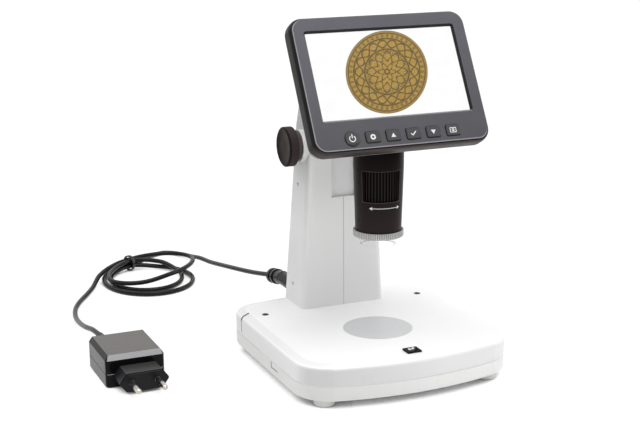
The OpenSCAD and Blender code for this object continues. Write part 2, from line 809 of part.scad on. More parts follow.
// The room that the display takes when it is tilted upright by an angle
module display_room(tilt, slack) {
    translate([0, hinge_y, hinge_z]) rotate([tilt, 0, 0]) translate([0, -hinge_y, -hinge_z]) on_display()
        block([4 * through, 2 * through, through], [0, -through, back_face - slack + through / 2]);
}

module head_outline(inset) {
    translate([0, optic_y]) circle(r = head_half_w - inset);
    translate([-head_half_w + inset, optic_y]) square([2 * (head_half_w - inset), head_back - inset]);
}

lid_t = 3;
housing_top = head_high - lid_t;
lid_post_r = 3.3;
lid_screws = [for (x = [-1, 1]) [x * (head_half_w - 5.4), head_back_y - 5.4]];
arm_screw_z = (arm_low + arm_high) / 2 + 1;
arm_screw_x = [-5, 5];
arm_screw_len = 7;
barrel_hole_r = barrel_top_d / 2 + fit;

module head_housing() {
    color("#1c1a1a") difference() {
        union() {
            difference() {
                translate([0, 0, head_low]) linear_extrude(housing_top - head_low) head_outline(0);
                translate([0, 0, head_low + 3]) linear_extrude(housing_top) head_outline(head_wall);
            }
            for (p = lid_screws)
                translate([p[0], p[1], head_low + 1]) cylinder(r = lid_post_r, h = housing_top - head_low - 1);
            intersection() {
                translate([0, 0, head_low]) linear_extrude(housing_top - head_low) head_outline(0);
                display_room(tilt_up + 2, head_wall + 1.2);
            }
        }
        display_room(tilt_up + 2, 1.2);
        translate([0, optic_y, head_low - 1]) cylinder(r = barrel_hole_r, h = barrel_top - head_low + 1);
        for (p = lid_screws) translate([p[0], p[1], housing_top - 12]) cylinder(d = 2 + 2 * fit, h = 13);
        for (x = arm_screw_x)
            along_y([x, head_back_y - head_wall - 1, arm_screw_z])
                cylinder(d = 2 + 2 * gap, h = head_wall + 2);
    }
}

hinge_eye_r = hinge_eye_d / 2;

module head_lid() {
    color("#1c1a1a") difference() {
        union() {
            translate([0, 0, housing_top]) linear_extrude(lid_t) head_outline(0);
            along_x([-hinge_knuckle_w / 2, hinge_y, hinge_z])
                cylinder(r = hinge_eye_r, h = hinge_knuckle_w);
            block([hinge_knuckle_w, 2 * hinge_eye_r, hinge_z - housing_top],
                  [0, hinge_y, (hinge_z + housing_top) / 2]);
        }
        display_room(tilt_up + 2, 1.2);
        along_x([-through, hinge_y, hinge_z]) cylinder(d = hinge_pin_d + 2 * nick, h = 2 * through);
        for (p = lid_screws) translate([p[0], p[1], housing_top - 1]) {
            cylinder(d = 2 + 2 * gap, h = lid_t + 2);
            translate([0, 0, lid_t]) cylinder(d = 4.4, h = 2);
        }
    }
}

module head_screws() {
    color("silver") {
        for (p = lid_screws) translate([p[0], p[1], head_high - 1]) mirror([0, 0, 1]) screw(2, 3.8, 1, 11);
        for (x = arm_screw_x)
            along_y([x, head_back_y - head_wall, arm_screw_z])
                screw(2, 4, 1.4, head_wall + arm_screw_len - 1);
    }
}

hinge_pin_half = hinge_knuckle_w / 2 + gap + hinge_ear_w;

module hinge_pin() {
    color("silver") along_x([-hinge_pin_half, hinge_y, hinge_z])
        cylinder(d = hinge_pin_d, h = 2 * hinge_pin_half);
}

dial_low = window_low - 1.4;
dial_high = window_high + 1.4;
dial_bore_r = dial_d / 2 + gap + 0.1;
lamp_seat = barrel_low + 4;
lamp_bore_r = 14.2;
barrel_throat_r = 13;

module barrel() {
    color("#2b2624") difference() {
        translate([0, optic_y, 0]) difference() {
            union() {
                translate([0, 0, barrel_low])
                    cylinder(d1 = barrel_low_d, d2 = barrel_top_d, h = barrel_straight - barrel_low);
                translate([0, 0, barrel_straight]) cylinder(d = barrel_top_d, h = barrel_top - barrel_straight);
            }
            translate([0, 0, dial_low - gap]) cylinder(r = dial_bore_r, h = through * 2);
            translate([0, 0, barrel_low - 1]) cylinder(r = barrel_throat_r, h = through);
            translate([0, 0, barrel_low - 1]) cylinder(r = lamp_bore_r, h = lamp_seat - barrel_low + 1);
            translate([0, 0, window_low]) rotate(270 - window_turn - window_span / 2)
                rotate_extrude(angle = window_span)
                    translate([dial_bore_r - 2, 0]) square([8, window_high - window_low]);
            translate([-barrel_low_d / 2, 0, barrel_low]) cube([3, 1.6, 5], center = true);
        }
        display_room(tilt_up + 2, 1.2);
    }
}

// Distance of the board's straight front edge in front of the optical axis
sensor_front = 11.4;

module sensor_board() {
    color("seagreen") translate([0, optic_y, barrel_top]) {
        difference() {
            cylinder(r = barrel_top_d / 2 - 0.3, h = board_t);
            block([through, through, through], [0, -sensor_front - through / 2, 0]);
        }
        translate([0, 0, -2]) cylinder(r = 4.5, h = 2);
    }
}

module ring_light_board() {
    color("whitesmoke") translate([0, optic_y, lamp_seat - 1.2]) tube(lamp_bore_r - fit, 6.5, 1.2);
    color("gold") translate([0, optic_y, lamp_seat - 1.2]) for (i = [1:8]) rotate(45 * i)
        block([2.6, 2.6, 1.2], [9.8, 0, -0.6]);
}

dial_root_r = dial_d / 2 - 0.9;
dial_tube_r = dial_d / 2 - 2.6;

module zoom_dial() {
    step = 360 / dial_ribs;
    color("#121010") translate([0, optic_y, dial_low]) linear_extrude(dial_high - dial_low) difference() {
        polygon([for (i = [0:dial_ribs - 1]) each [for (q = [[0.24, 0], [0.36, 1], [0.64, 1], [0.76, 0]])
            (dial_root_r + q[1] * (dial_d / 2 - dial_root_r))
                * [cos((i + q[0]) * step), sin((i + q[0]) * step)]]]);
        circle(r = dial_tube_r);
    }
}

cell_r = 9;
cell_low = lamp_seat + 1;
lens_r = 7.2;

module lens_cell() {
    color("#1a1a1a") translate([0, optic_y, 0]) {
        translate([0, 0, cell_low]) tube(cell_r, lens_r + fit, dial_low + 0.2 - cell_low);
        translate([0, 0, dial_low]) tube(dial_tube_r - nick, lens_r + fit, 2);
        translate([0, 0, cell_low]) tube(lens_r + 2 * fit, lens_r - 0.8, 0.8);
    }
}

module objective_lens() {
    color("lightcyan") translate([0, optic_y, cell_low + 0.8]) rotate_extrude() polygon(concat(
        [[0, 0], [lens_r, 0], [lens_r, 2]],
        [for (a = [75:-15:0]) [lens_r * sin(a), 2 + 1.4 * cos(a)]]));
}

cap_low = barrel_low - 3.6;
cap_t = 1.3;
cap_spigot_r = lamp_bore_r - fit;

// Clear cap that turns on the barrel's lower end
module clear_cap() {
    color("#ddeeff", 0.4) translate([0, optic_y, cap_low]) {
        difference() {
            union() {
                knurled(cap_ring_d / 2, cap_ring_h, 72, 0.35);
                translate([0, 0, -cap_skirt_h])
                    cylinder(d1 = cap_skirt_low_d, d2 = cap_skirt_top_d, h = cap_skirt_h + nick);
            }
            translate([0, 0, cap_t]) cylinder(r = barrel_low_d / 2 + gap + 0.2, h = cap_ring_h);
            translate([0, 0, -cap_skirt_h - nick])
                cylinder(d1 = cap_skirt_low_d - 2 * cap_t, d2 = cap_skirt_top_d - 3 * cap_t,
                         h = cap_skirt_h + 2 * nick);
            cylinder(d = cap_skirt_top_d - 3 * cap_t, h = through);
        }
        translate([0, 0, nick]) tube(cap_spigot_r, cap_skirt_top_d / 2 - 1.5 * cap_t, 5.4);
    }
}

// ---- display, in its own frame

function display_ring(inset, w) =
    at_height(rounded(display_mid, [display_w, display_h], display_corner_r, inset, 6), w);

glass_t = 1.2;
glass_lip = 1.2;
opening_slope = 1.5;
lcd_t = 3;
lcd_lip = 2.8;
lcd_back = -glass_t - 0.2 - lcd_t;
post_x = screen_w / 2 - 5;
display_posts = [
    for (x = [-post_x, post_x]) [x, screen_h / 2 + 5.2],
    for (x = [-post_x, post_x]) [x, -screen_h / 2 - bezel_bottom + 5.4]];
display_post_r = 2.2;
display_screw_d = 2;

button_y = -screen_h / 2 - button_drop;
button_x = [for (i = [0:5]) (i - 2.5) * button_pitch - 0.35];
button_flange = 0.9;
button_back = -glass_t - gap;

module button_outline(grow) {
    offset_r = 1.3 + grow;
    polygon(rounded([0, 0], [button_w + 2 * grow, button_h + 2 * grow], offset_r, 0, 4));
}

module display_bezel() {
    color("#2b2829") on_display() difference() {
        union() {
            difference() {
                loft([
                    display_ring(0.5, -bezel_depth), display_ring(0, -bezel_depth + 0.6),
                    display_ring(0, -1.6), display_ring(0.35, 0.2), display_ring(1.1, bezel_rise - 0.5),
                    display_ring(2.4, bezel_rise)]);
                translate([0, 0, -bezel_depth - 1]) linear_extrude(bezel_depth + 1 - glass_t)
                    polygon(rounded(display_mid, [display_w, display_h], display_corner_r, display_wall, 6));
            }
            for (p = display_posts) translate([p[0], p[1], -bezel_depth])
                cylinder(r = display_post_r, h = bezel_depth - glass_t + nick);
            for (x = [-1, 1]) translate([x * key_post_x, button_y, key_board_w])
                cylinder(r = 1.6, h = -key_board_w - glass_t + nick);
        }
        translate([0, 0, -glass_t - 1])
            block([screen_w + 2 * glass_lip, screen_h + 2 * glass_lip, glass_t + 1],
                  [0, 0, (glass_t + 1) / 2]);
        loft([for (q = [[-2, 0], [0, 0], [bezel_rise + nick, opening_slope]])
            at_height(rounded([0, 0], [screen_w, screen_h] + 2 * q[1] * [1, 1], 0.4 + q[1], 0, 2), q[0])]);
        for (p = display_posts)
            translate([p[0], p[1], -bezel_depth - 1]) cylinder(d = display_screw_d + 2 * fit, h = 6);
        translate([button_x[0], button_y, -through / 2]) cylinder(d = power_button_d + 2 * gap, h = through);
        for (i = [1:5])
            translate([button_x[i], button_y, -through / 2]) linear_extrude(through) button_outline(gap);
    }
}

module hinge_ears() {
    both_sides() translate([hinge_knuckle_w / 2 + gap, 0, 0]) rotate([0, 90, 0]) linear_extrude(hinge_ear_w) {
        translate([-hinge_axis, 0]) circle(r = hinge_eye_r);
        translate([-back_face - nick, -hinge_eye_r]) square([hinge_back + nick, 2 * hinge_eye_r]);
    }
}

card_w = 12.4;
card_t = 1.2;
card_axis = -bezel_depth - 1.1;
card_y = 4;

module display_back() {
    inner = -bezel_depth - back_depth + display_wall;
    color("#2b2829") on_display() difference() {
        union() {
            difference() {
                loft([
                    display_ring(back_taper + 1.4, back_face), display_ring(back_taper, back_face + 0.8),
                    display_ring(0.9, -bezel_depth - 2), display_ring(0.2, -bezel_depth - 0.6),
                    display_ring(0.5, -bezel_depth)]);
                translate([0, 0, inner]) linear_extrude(back_depth)
                    polygon(rounded(display_mid, [display_w, display_h], display_corner_r,
                                    display_wall + back_taper * 0.8, 6));
            }
            for (p = display_posts)
                translate([p[0], p[1], back_face + 1]) cylinder(r = display_post_r + 0.8, h = back_depth - 1);
            for (p = board_posts)
                translate([p[0], p[1], inner - nick]) cylinder(r = 2, h = main_board_w - inner + nick);
            hinge_ears();
        }
        for (p = display_posts) translate([p[0], p[1], back_face - 1]) {
            cylinder(d = display_screw_d + 2 * gap, h = through);
            cylinder(d = 4 + 2 * fit, h = 3);
        }
        block([10, card_w, card_t], [display_w / 2, card_y, card_axis]);
        along_x([-through, 0, hinge_axis]) cylinder(d = hinge_pin_d + 2 * fit, h = 2 * through);
    }
}

module screen_glass() {
    color("#88aacc", 0.3) on_display()
        block([screen_w + 2 * glass_lip - 0.2, screen_h + 2 * glass_lip - 0.2, glass_t],
              [0, 0, -glass_t / 2]);
}

module lcd_panel() {
    color("white") on_display()
        block([screen_w + 2 * lcd_lip, screen_h + 2 * lcd_lip, lcd_t], [0, 0, -glass_t - lcd_t / 2 - nick]);
}

main_board_w = -bezel_depth + 0.6;
main_board_size = [screen_w - 16, screen_h - 6];
board_posts = [for (x = [-0.5, 0.5], y = [-0.5, 0.5])
    [x * (main_board_size[0] - 6), y * (main_board_size[1] - 6)]];

module main_board() {
    color("seagreen") on_display() {
        block([main_board_size[0], main_board_size[1], board_t], [0, 0, main_board_w + board_t / 2]);
        block([14, 14, 1], [-18, 8, main_board_w - 0.5 + nick]);
    }
}

battery_t = back_depth - display_wall - 1.2;

module battery() {
    color("steelblue") on_display()
        block([0.55 * main_board_size[0], 0.7 * main_board_size[1], battery_t],
              [0.1 * main_board_size[0], -0.07 * main_board_size[1], back_face + display_wall + battery_t / 2]);
}

key_board_w = -4.2;
key_post_x = 2.5 * button_pitch + power_button_d / 2 + 4;

module key_board() {
    color("seagreen") on_display() {
        block([2 * key_post_x + 4, 6.4, 1.2], [0, button_y, key_board_w - 0.6]);
        for (x = button_x) block([4, 4, 0.9], [x, button_y, key_board_w + 0.45 - nick]);
    }
}

module display_screws() {
    color("silver") on_display() for (p = display_posts)
        translate([p[0], p[1], back_face + 2]) screw(display_screw_d, 4, 1.4, back_depth + 3);
}

module card_socket() {
    color("silver") on_display() difference() {
        block([14, 14.5, 1.8], [display_w / 2 - display_wall - back_taper - 8.4, card_y, main_board_w - 0.9]);
        block([28, card_w, card_t], [display_w / 2, card_y, card_axis + 0.2]);
    }
}

// ---- buttons

module power_button() {
    color("#333133") on_display() translate([button_x[0], button_y, 0]) {
        translate([0, 0, button_back - 0.9])
            cylinder(d = power_button_d + 2 * gap + 2 * button_flange, h = 0.9);
        translate([0, 0, button_back - nick])
            cylinder(d = power_button_d, h = bezel_rise + button_proud - button_back);
    }
}

module rectangular_button(i) {
    color("#333133") on_display() translate([button_x[i], button_y, 0]) {
        translate([0, 0, button_back - 0.9]) linear_extrude(0.9) button_outline(gap + button_flange);
        translate([0, 0, button_back - nick])
            linear_extrude(bezel_rise + button_proud - button_back) button_outline(0);
    }
}

module menu_button() { rectangular_button(1); }

module up_button() { rectangular_button(2); }

module ok_button() { rectangular_button(3); }

module down_button() { rectangular_button(4); }

module camera_button() { rectangular_button(5); }

// ---- power lead

plug_front = socket_y + 0.4;
plug_bend = [-socket_x, plug_front + plug_grip_len, socket_h];
cord_heading = [0, cos(plug_droop), -sin(plug_droop)];
cord_exit = plug_bend + plug_boot_len * cord_heading;

// Plug with a straight grip, and a ribbed boot that droops behind it
module power_plug() {
    color("#1d1d1f") {
        along_y([-socket_x, plug_front, socket_h]) cylinder(d = plug_grip_d - 1.6, h = plug_grip_len);
        translate(plug_bend) sphere(d = plug_grip_d - 1);
        translate(plug_bend) rotate([-90 - plug_droop, 0, 0]) {
            cylinder(d = plug_grip_d - 1.6, h = plug_boot_len - 3);
            for (z = [plug_boot_len - 15, plug_boot_len - 8])
                translate([0, 0, z]) cylinder(d = plug_grip_d, h = 4);
            translate([0, 0, plug_boot_len - 4 + nick])
                cylinder(d1 = plug_grip_d, d2 = plug_grip_d - 3, h = 2.5);
            translate([0, 0, plug_boot_len - 3]) cylinder(d = cord_d + 2.4, h = 3);
        }
    }
    color("silver") along_y([-socket_x, plug_front - 9, socket_h]) cylinder(r = jack_bore_r, h = 9 + nick);
}

// Smooth curve through points, with steps per stretch
function between(p0, p1, p2, p3, t) =
    0.5 * (2 * p1 + (p2 - p0) * t + (2 * p0 - 5 * p1 + 4 * p2 - p3) * pow(t, 2)
           + (3 * p1 - p0 - 3 * p2 + p3) * pow(t, 3));

function smooth(p, steps) = let (n = len(p)) concat(
    [for (i = [0:n - 2], k = [0:steps - 1])
        between(p[max(i - 1, 0)], p[i], p[i + 1], p[min(i + 2, n - 1)], k / steps)],
    [p[n - 1]]);

function unit(v) = v / norm(v);

// Rings of a round tube of diameter d round a path, square to it
function tube_rings(path, d, sides) =
    let (n = len(path))
    [for (i = [0:n - 1])
        let (
            t = unit(path[min(i + 1, n - 1)] - path[max(i - 1, 0)]),
            s = unit(cross(t, [0, 0, 1])),
            u = cross(s, t))
        [for (k = [0:sides - 1]) let (a = 360 * (k + 0.5) / sides)
            path[i] + d / 2 * (cos(a) * s + sin(a) * u)]];

module swept(path, d, sides) { loft(tube_rings(path, d, sides)); }

// The lead lies in three tied loops, which all start and end inside the tie
tie_at = [-97, 302, 7.02];
tie_heading = 205.8;
tie_in_r = 5.8;
tie_out_r = 7;
tie_w = 3;
loop_count = 3;
rings_per_loop = 24;
// Each loop's half length, half width, turn on the table, and heading at the tie
loop_sizes = [[38, 42.5, 0, 190], [31, 36.5, 0, 190], [48, 29, 34, 211]];
// Part of a turn over which one loop's size goes over into the next
loop_blend = 0.4;
// Distance from the tie's middle towards the front at each passage through it
tie_sides = [-2.4, 2.4, 2.4, -2.4];
// Height of the lead's middle, eight per loop
loop_heights = [
    4.75, 3, 2.1, 2.05, 2.05, 2.05, 2.05, 2.4,
    4.75, 2.9, 2.1, 2.05, 2.05, 2.3, 4.4, 7.6,
    9.3, 8.3, 7, 6.7, 8.9, 9, 8.4, 9, 9.3];

function eased(f) = (1 - cos(180 * f)) / 2;

function mixed(a, b, f) = a * (1 - f) + b * f;

function along(table, s) =
    let (i = min(floor(s), len(table) - 2)) mixed(table[i], table[i + 1], eased(s - i));

function loop_size(s) =
    let (
        x = min(max(s - 0.5, 0), loop_count - 1 - nick / 100),
        i = floor(x),
        f = eased(min(max((x - i - 0.5) / loop_blend + 0.5, 0), 1)))
    mixed(loop_sizes[i], loop_sizes[min(i + 1, loop_count - 1)], f);

// Middle of the lead after s loops
function loop_point(s) =
    let (
        q = loop_size(s),
        turn = q[2],
        heading = q[3] - turn,
        start = atan2(-cos(heading) / q[0], sin(heading) / q[1]),
        x = q[0] * (cos(start + 360 * s) - cos(start)),
        y = q[1] * (sin(start + 360 * s) - sin(start)),
        side = along(tie_sides, s) * (1 + cos(360 * s)) / 2)
    [tie_at[0] + x * cos(turn) - y * sin(turn) - side * sin(tie_heading),
     tie_at[1] + x * sin(turn) + y * cos(turn) + side * cos(tie_heading),
     along(loop_heights, 8 * s)];

loop_path = [for (i = [0:loop_count * rings_per_loop]) loop_point(i / rings_per_loop)];
loops_heading_in = unit(loop_point(nick) - loop_point(0));
loops_heading_out = unit(loop_point(loop_count) - loop_point(loop_count - nick));
loops_from = loop_path[0] - cord_d * loops_heading_in;
loops_to = loop_path[loop_count * rings_per_loop] + cord_d * loops_heading_out;

// Least distance between points of the loops at least a quarter of a loop apart
loops_least = min([for (i = [0:len(loop_path) - 1], j = [0:len(loop_path) - 1])
    if (j > i + rings_per_loop / 4) norm(loop_path[i] - loop_path[j])]);
echo(least_gap_between_loops = loops_least - cord_d);

// Points that the lead passes from the plug to the loops
lead_points = [
    [-27, 150, 29.8], [-29.5, 175, 25.3], [-32, 212, 19.3], [-33, 236, 15.3], [-34, 260, 11.5],
    [-35, 286, 8.5], [-36.5, 306, 5], [-39, 321, 3], [-45, 333, 2.2], [-54, 338.5, 2.1],
    [-64, 335, 2.2], [-73, 326, 3], [-80, 316.5, 3.9], [-85.5, 309.2, 4.6]];
// Points that it passes from the loops to the adapter
tail_points = [
    [-111.8, 296.4, 8.6], [-122.5, 286.9, 7.6], [-131.6, 276.4, 6], [-137.5, 266.2, 4], [-142.6, 256.5, 2.5],
    [-152.3, 239.5, 2.05], [-162.6, 221.9, 2.05], [-170.3, 204.3, 2.05], [-175.2, 183.4, 2.6],
    [-177.6, 161.6, 5], [-179.1, 135.8, 9.6], [-178.6, 114, 14]];
route_steps = 3;

module cord_lead() {
    color("#26242a") swept(smooth(concat(
        [cord_exit, cord_exit + cord_d * cord_heading], lead_points,
        [loops_from - cord_d * loops_heading_in, loops_from]), route_steps), cord_d, 8);
}

module cord_loops() { color("#26242a") swept(concat([loops_from], loop_path, [loops_to]), cord_d, 6); }

module cord_tie() {
    color("#101010") translate(tie_at) rotate([0, 90, tie_heading]) translate([0, 0, -tie_w / 2])
        tube(tie_out_r, tie_in_r, tie_w);
}

module cord_tail() {
    color("#26242a") swept(smooth(concat(
        [loops_to, loops_to + cord_d * loops_heading_out], tail_points,
        [boot_end + [0, cord_d, 0], boot_end]), route_steps), cord_d, 8);
}

// ---- adapter

adapter_x = -170;
adapter_front = 25;
adapter_mid = [adapter_x, adapter_front + adapter_len / 2];
adapter_r = 2.5;
adapter_groove = 0.3;
adapter_foot = 1;
boot_at = [-178, adapter_front + adapter_len, 15.5];
boot_len = 20;
boot_root_r = 4;
boot_neck_r = 2.8;
boot_flange_r = 3.5;
boot_end = boot_at + [0, boot_len, 0];
mains_mid = [adapter_x + 1.5, adapter_front, 8.5];
mains_slope = 4.6;
mains_flange = 1.6;
mains_face_y = adapter_front - mains_len;

function adapter_ring(inset, z) =
    at_height(rounded(adapter_mid, [adapter_w, adapter_len], adapter_r, inset, 4), z);

module adapter_cover() {
    inner_z = adapter_h - adapter_wall;
    slant = adapter_wall * tan(22.5);
    color("#2c2a2b") difference() {
        loft([
            adapter_ring(adapter_groove, adapter_split), adapter_ring(0, adapter_split + adapter_groove),
            adapter_ring(0, adapter_h - adapter_chamfer), adapter_ring(adapter_chamfer, adapter_h)]);
        loft([
            adapter_ring(adapter_wall, adapter_split - 1),
            adapter_ring(adapter_wall, adapter_h - adapter_chamfer - slant),
            adapter_ring(adapter_chamfer + slant, inner_z)]);
        mains_hole();
        along_y(boot_at - [0, adapter_wall + 1, 0]) cylinder(r = boot_neck_r + fit, h = adapter_wall + 2);
    }
}

module adapter_base() {
    color("#2c2a2b") difference() {
        loft([
            adapter_ring(adapter_foot, 0), adapter_ring(0, adapter_foot),
            adapter_ring(0, adapter_split - adapter_groove), adapter_ring(adapter_groove, adapter_split)]);
        translate([0, 0, adapter_wall]) linear_extrude(adapter_split)
            polygon(rounded(adapter_mid, [adapter_w, adapter_len], adapter_r, adapter_wall, 4));
        mains_hole();
    }
}

module adapter_boot() {
    color("#1d1d1f") along_y(boot_at) {
        cylinder(r1 = boot_root_r, r2 = cord_d / 2 + 0.8, h = boot_len);
        for (i = [1:4]) translate([0, 0, i * boot_len / 6]) cylinder(r = boot_root_r - i * 0.2, h = 1.2);
        translate([0, 0, -adapter_wall - nick]) cylinder(r = boot_neck_r, h = adapter_wall + 2 * nick);
        translate([0, 0, -adapter_wall - 1.5]) cylinder(r = boot_flange_r, h = 1.5);
    }
}

// Outline of the mains plug's body, a flattened hexagon, grown by grow
module mains_outline(grow) {
    x = mains_w / 2 + grow;
    z = mains_h / 2 + grow;
    polygon([[-x, -0.6], [-x + mains_slope, -z], [x - mains_slope, -z], [x, -0.6],
             [x, 0.6], [x - mains_slope, z], [-x + mains_slope, z], [-x, 0.6]]);
}

module mains_hole() {
    translate(mains_mid + [0, adapter_wall + 1, 0]) rotate([90, 0, 0])
        linear_extrude(adapter_wall + 2) mains_outline(fit);
}

module mains_plug() {
    color("#242326") difference() {
        union() {
            translate(mains_mid + [0, adapter_wall + mains_flange, 0]) rotate([90, 0, 0]) {
                linear_extrude(mains_flange) mains_outline(0.8);
                linear_extrude(mains_len + adapter_wall + mains_flange - 1) mains_outline(0);
                linear_extrude(mains_len + adapter_wall + mains_flange) mains_outline(-0.7);
            }
        }
        block([2 * mains_w, adapter_len, 2 * (adapter_wall + fit)],
              [mains_mid[0], adapter_front + adapter_wall + adapter_len / 2, 0]);
        for (x = [-pin_pitch / 2, pin_pitch / 2])
            along_y([mains_mid[0] + x, mains_face_y - 1, mains_mid[2]])
                cylinder(d = pin_d + 2 * nick, h = pin_seat + 1);
    }
}

// Depth of a pin's seat in the plug, and the sleeve's wall
pin_seat = 12;
sleeve_wall = 0.5;
sleeve_d = pin_d - 0.2;

module mains_pins() {
    color("gainsboro") for (x = [-pin_pitch / 2, pin_pitch / 2])
        translate([mains_mid[0] + x, mains_face_y - pin_len + pin_d / 2, mains_mid[2]]) {
            sphere(d = pin_d);
            along_y([0, 0, 0]) cylinder(d = pin_d, h = pin_len - sleeve_len - pin_d / 2);
            along_y([0, 0, 0]) cylinder(d = sleeve_d - 2 * sleeve_wall, h = pin_len - pin_d / 2 + nick);
            along_y([0, pin_len - pin_d / 2, 0]) cylinder(d = pin_d, h = pin_seat);
        }
}

module pin_sleeves() {
    color("#101010") for (x = [-pin_pitch / 2, pin_pitch / 2])
        along_y([mains_mid[0] + x, mains_face_y - sleeve_len, mains_mid[2]])
            tube(sleeve_d / 2, sleeve_d / 2 - sleeve_wall, sleeve_len);
}

// ---- pieces

base_cover();
base_tray();
base_feet();
base_screws();
stage_plate();
stage_light_board();
light_switch_frame();
light_switch_rocker();
clip_bushes();
column_left();
column_right();
column_screws();
guide_rods();
shaft_bushes();
power_socket();
focus_shaft();
focus_pinion();
focus_knob_left();
focus_knob_right();
focus_carriage();
focus_rack();
head_housing();
head_lid();
head_screws();
hinge_pin();
barrel();
sensor_board();
ring_light_board();
zoom_dial();
lens_cell();
objective_lens();
clear_cap();
display_bezel();
display_back();
screen_glass();
lcd_panel();
main_board();
battery();
key_board();
display_screws();
card_socket();
power_button();
menu_button();
up_button();
ok_button();
down_button();
camera_button();
power_plug();
cord_lead();
cord_loops();
cord_tie();
cord_tail();
adapter_boot();
adapter_cover();
adapter_base();
mains_plug();
mains_pins();
pin_sleeves();
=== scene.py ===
import math  # noqa: E402

import bpy  # noqa: E402
from mathutils import Matrix, Vector  # noqa: E402


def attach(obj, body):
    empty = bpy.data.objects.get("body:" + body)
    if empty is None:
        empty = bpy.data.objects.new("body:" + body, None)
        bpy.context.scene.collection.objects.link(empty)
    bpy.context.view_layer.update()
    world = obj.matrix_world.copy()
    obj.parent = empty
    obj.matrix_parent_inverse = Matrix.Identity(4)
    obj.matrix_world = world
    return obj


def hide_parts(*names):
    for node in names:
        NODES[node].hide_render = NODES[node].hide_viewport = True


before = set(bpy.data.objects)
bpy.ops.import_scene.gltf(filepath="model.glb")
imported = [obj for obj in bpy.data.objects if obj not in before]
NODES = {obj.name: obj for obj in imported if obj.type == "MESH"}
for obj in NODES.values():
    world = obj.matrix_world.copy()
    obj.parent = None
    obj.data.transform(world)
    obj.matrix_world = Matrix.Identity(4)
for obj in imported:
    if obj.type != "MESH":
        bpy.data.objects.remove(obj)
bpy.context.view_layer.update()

MM = 0.001
RIGHT, LEFT, REAR, FRONT, UP = (1, 0, 0), (-1, 0, 0), (0, 1, 0), (0, -1, 0), (0, 0, 1)

# Places and sizes in the object, in millimetres
OPTIC_Y = -15.5
BASE_TOP = 31
PARTING_Z = 16.2
SWITCH_Y = OPTIC_Y - 54.5
CLIP_X, CLIP_Y = 63.5, OPTIC_Y + 61
COLUMN_Y = 44.2
SHAFT_Y, SHAFT_Z = COLUMN_Y + 13.3, 154.4
KNOB_START, COLLAR_W, RIM_W = 31.7, 3.6, 7.6
KNOB_R, COLLAR_R = 14.9, 11.0
CAP_RING_Z = 100.3
CAP_RIBS = 72
# The screen leans back. SCREEN_UP runs up it and SCREEN_OUT points out of it.
RECLINE = math.radians(29.3)
SCREEN_MID = (0.0, -30.3, 218.5)
SCREEN_UP = (0.0, math.sin(RECLINE), math.cos(RECLINE))
SCREEN_DOWN = tuple(-c for c in SCREEN_UP)
SCREEN_OUT = (0.0, -math.cos(RECLINE), math.sin(RECLINE))
SCREEN_W, SCREEN_H = 110.7, 62.3
# The bezel's face and the keys, measured up the screen and out of it from its middle
BEZEL_W, BEZEL_H, BEZEL_CORNER = 132.9, 97.5, 10.0
BEZEL_MID = -6.0
KEY_PITCH, KEY_SHIFT = 15.1, -0.35
KEY_X = [(i - 2.5) * KEY_PITCH + KEY_SHIFT for i in range(6)]
KEY_Y = -45.35
KEY_TOP = 2.4


# ---- node helpers


def new_tree(owner):
    """Empty node tree of a material or world."""
    owner.use_nodes = True
    owner.node_tree.nodes.clear()
    return owner.node_tree


def add(tree, kind, **settings):
    node = tree.nodes.new(kind)
    for key, value in settings.items():
        setattr(node, key, value)
    return node


def feed(tree, socket, value):
    """Link a socket to a value that is a socket too, or else set it."""
    if isinstance(value, bpy.types.NodeSocket):
        tree.links.new(value, socket)
    else:
        socket.default_value = value


def linear(colour):
    """Linear colour from one written 0 to 255."""
    return tuple(c / 255 / 12.92 if c <= 10 else ((c / 255 + 0.055) / 1.055) ** 2.4 for c in colour) + (1.0,)


def scaled(colour, share):
    """Linear colour made darker or paler."""
    return tuple(min(1.0, c * share) for c in colour[:3]) + (1.0,)


def noise(tree, where, scale, detail=2.0, rough=0.5, stretch=None):
    """Noise with so many waves to the metre, closer along directions where the stretch is larger."""
    if stretch:
        mapping = add(tree, "ShaderNodeMapping")
        mapping.inputs["Scale"].default_value = stretch
        tree.links.new(where, mapping.inputs["Vector"])
        where = mapping.outputs[0]
    n = add(tree, "ShaderNodeTexNoise")
    for key, value in (("Vector", where), ("Scale", scale), ("Detail", detail), ("Roughness", rough)):
        feed(tree, n.inputs[key], value)
    return n.outputs["Fac"]


def remap(tree, value, low, high, to_low, to_high):
    """Value carried from one range to another, and held at its ends."""
    n = add(tree, "ShaderNodeMapRange", clamp=True)
    feed(tree, n.inputs["Value"], value)
    for key, number in zip(("From Min", "From Max", "To Min", "To Max"), (low, high, to_low, to_high)):
        n.inputs[key].default_value = number
    return n.outputs[0]


def blend(tree, factor, first, second, kind="MIX"):
    """Mix of two colours, each a colour or a socket, by a socket or a number."""
    n = add(tree, "ShaderNodeMix", data_type="RGBA", blend_type=kind)
    for index, value in ((0, factor), (6, first), (7, second)):
        feed(tree, n.inputs[index], value)
    return n.outputs[2]


def coat(tree, mask, paint, colour):
    """Paint with a colour written 0 to 255 over it, as far as the mask says."""
    return blend(tree, mask, paint, linear(colour))


def calc(tree, operation, *values):
    """Sum on numbers and sockets."""
    n = add(tree, "ShaderNodeMath", operation=operation)
    for socket, value in zip(n.inputs, values):
        feed(tree, socket, value)
    return n.outputs[0]


def within(tree, value, middle, half):
    """1 where a value is less than half away from the middle."""
    away = calc(tree, "ABSOLUTE", calc(tree, "SUBTRACT", value, middle))
    return calc(tree, "LESS_THAN", away, half)


def radius_from(tree, first, second):
    """Distance from an axis, from the distances along the two directions across it."""
    squares = (calc(tree, "MULTIPLY", value, value) for value in (first, second))
    return calc(tree, "SQRT", calc(tree, "ADD", *squares))


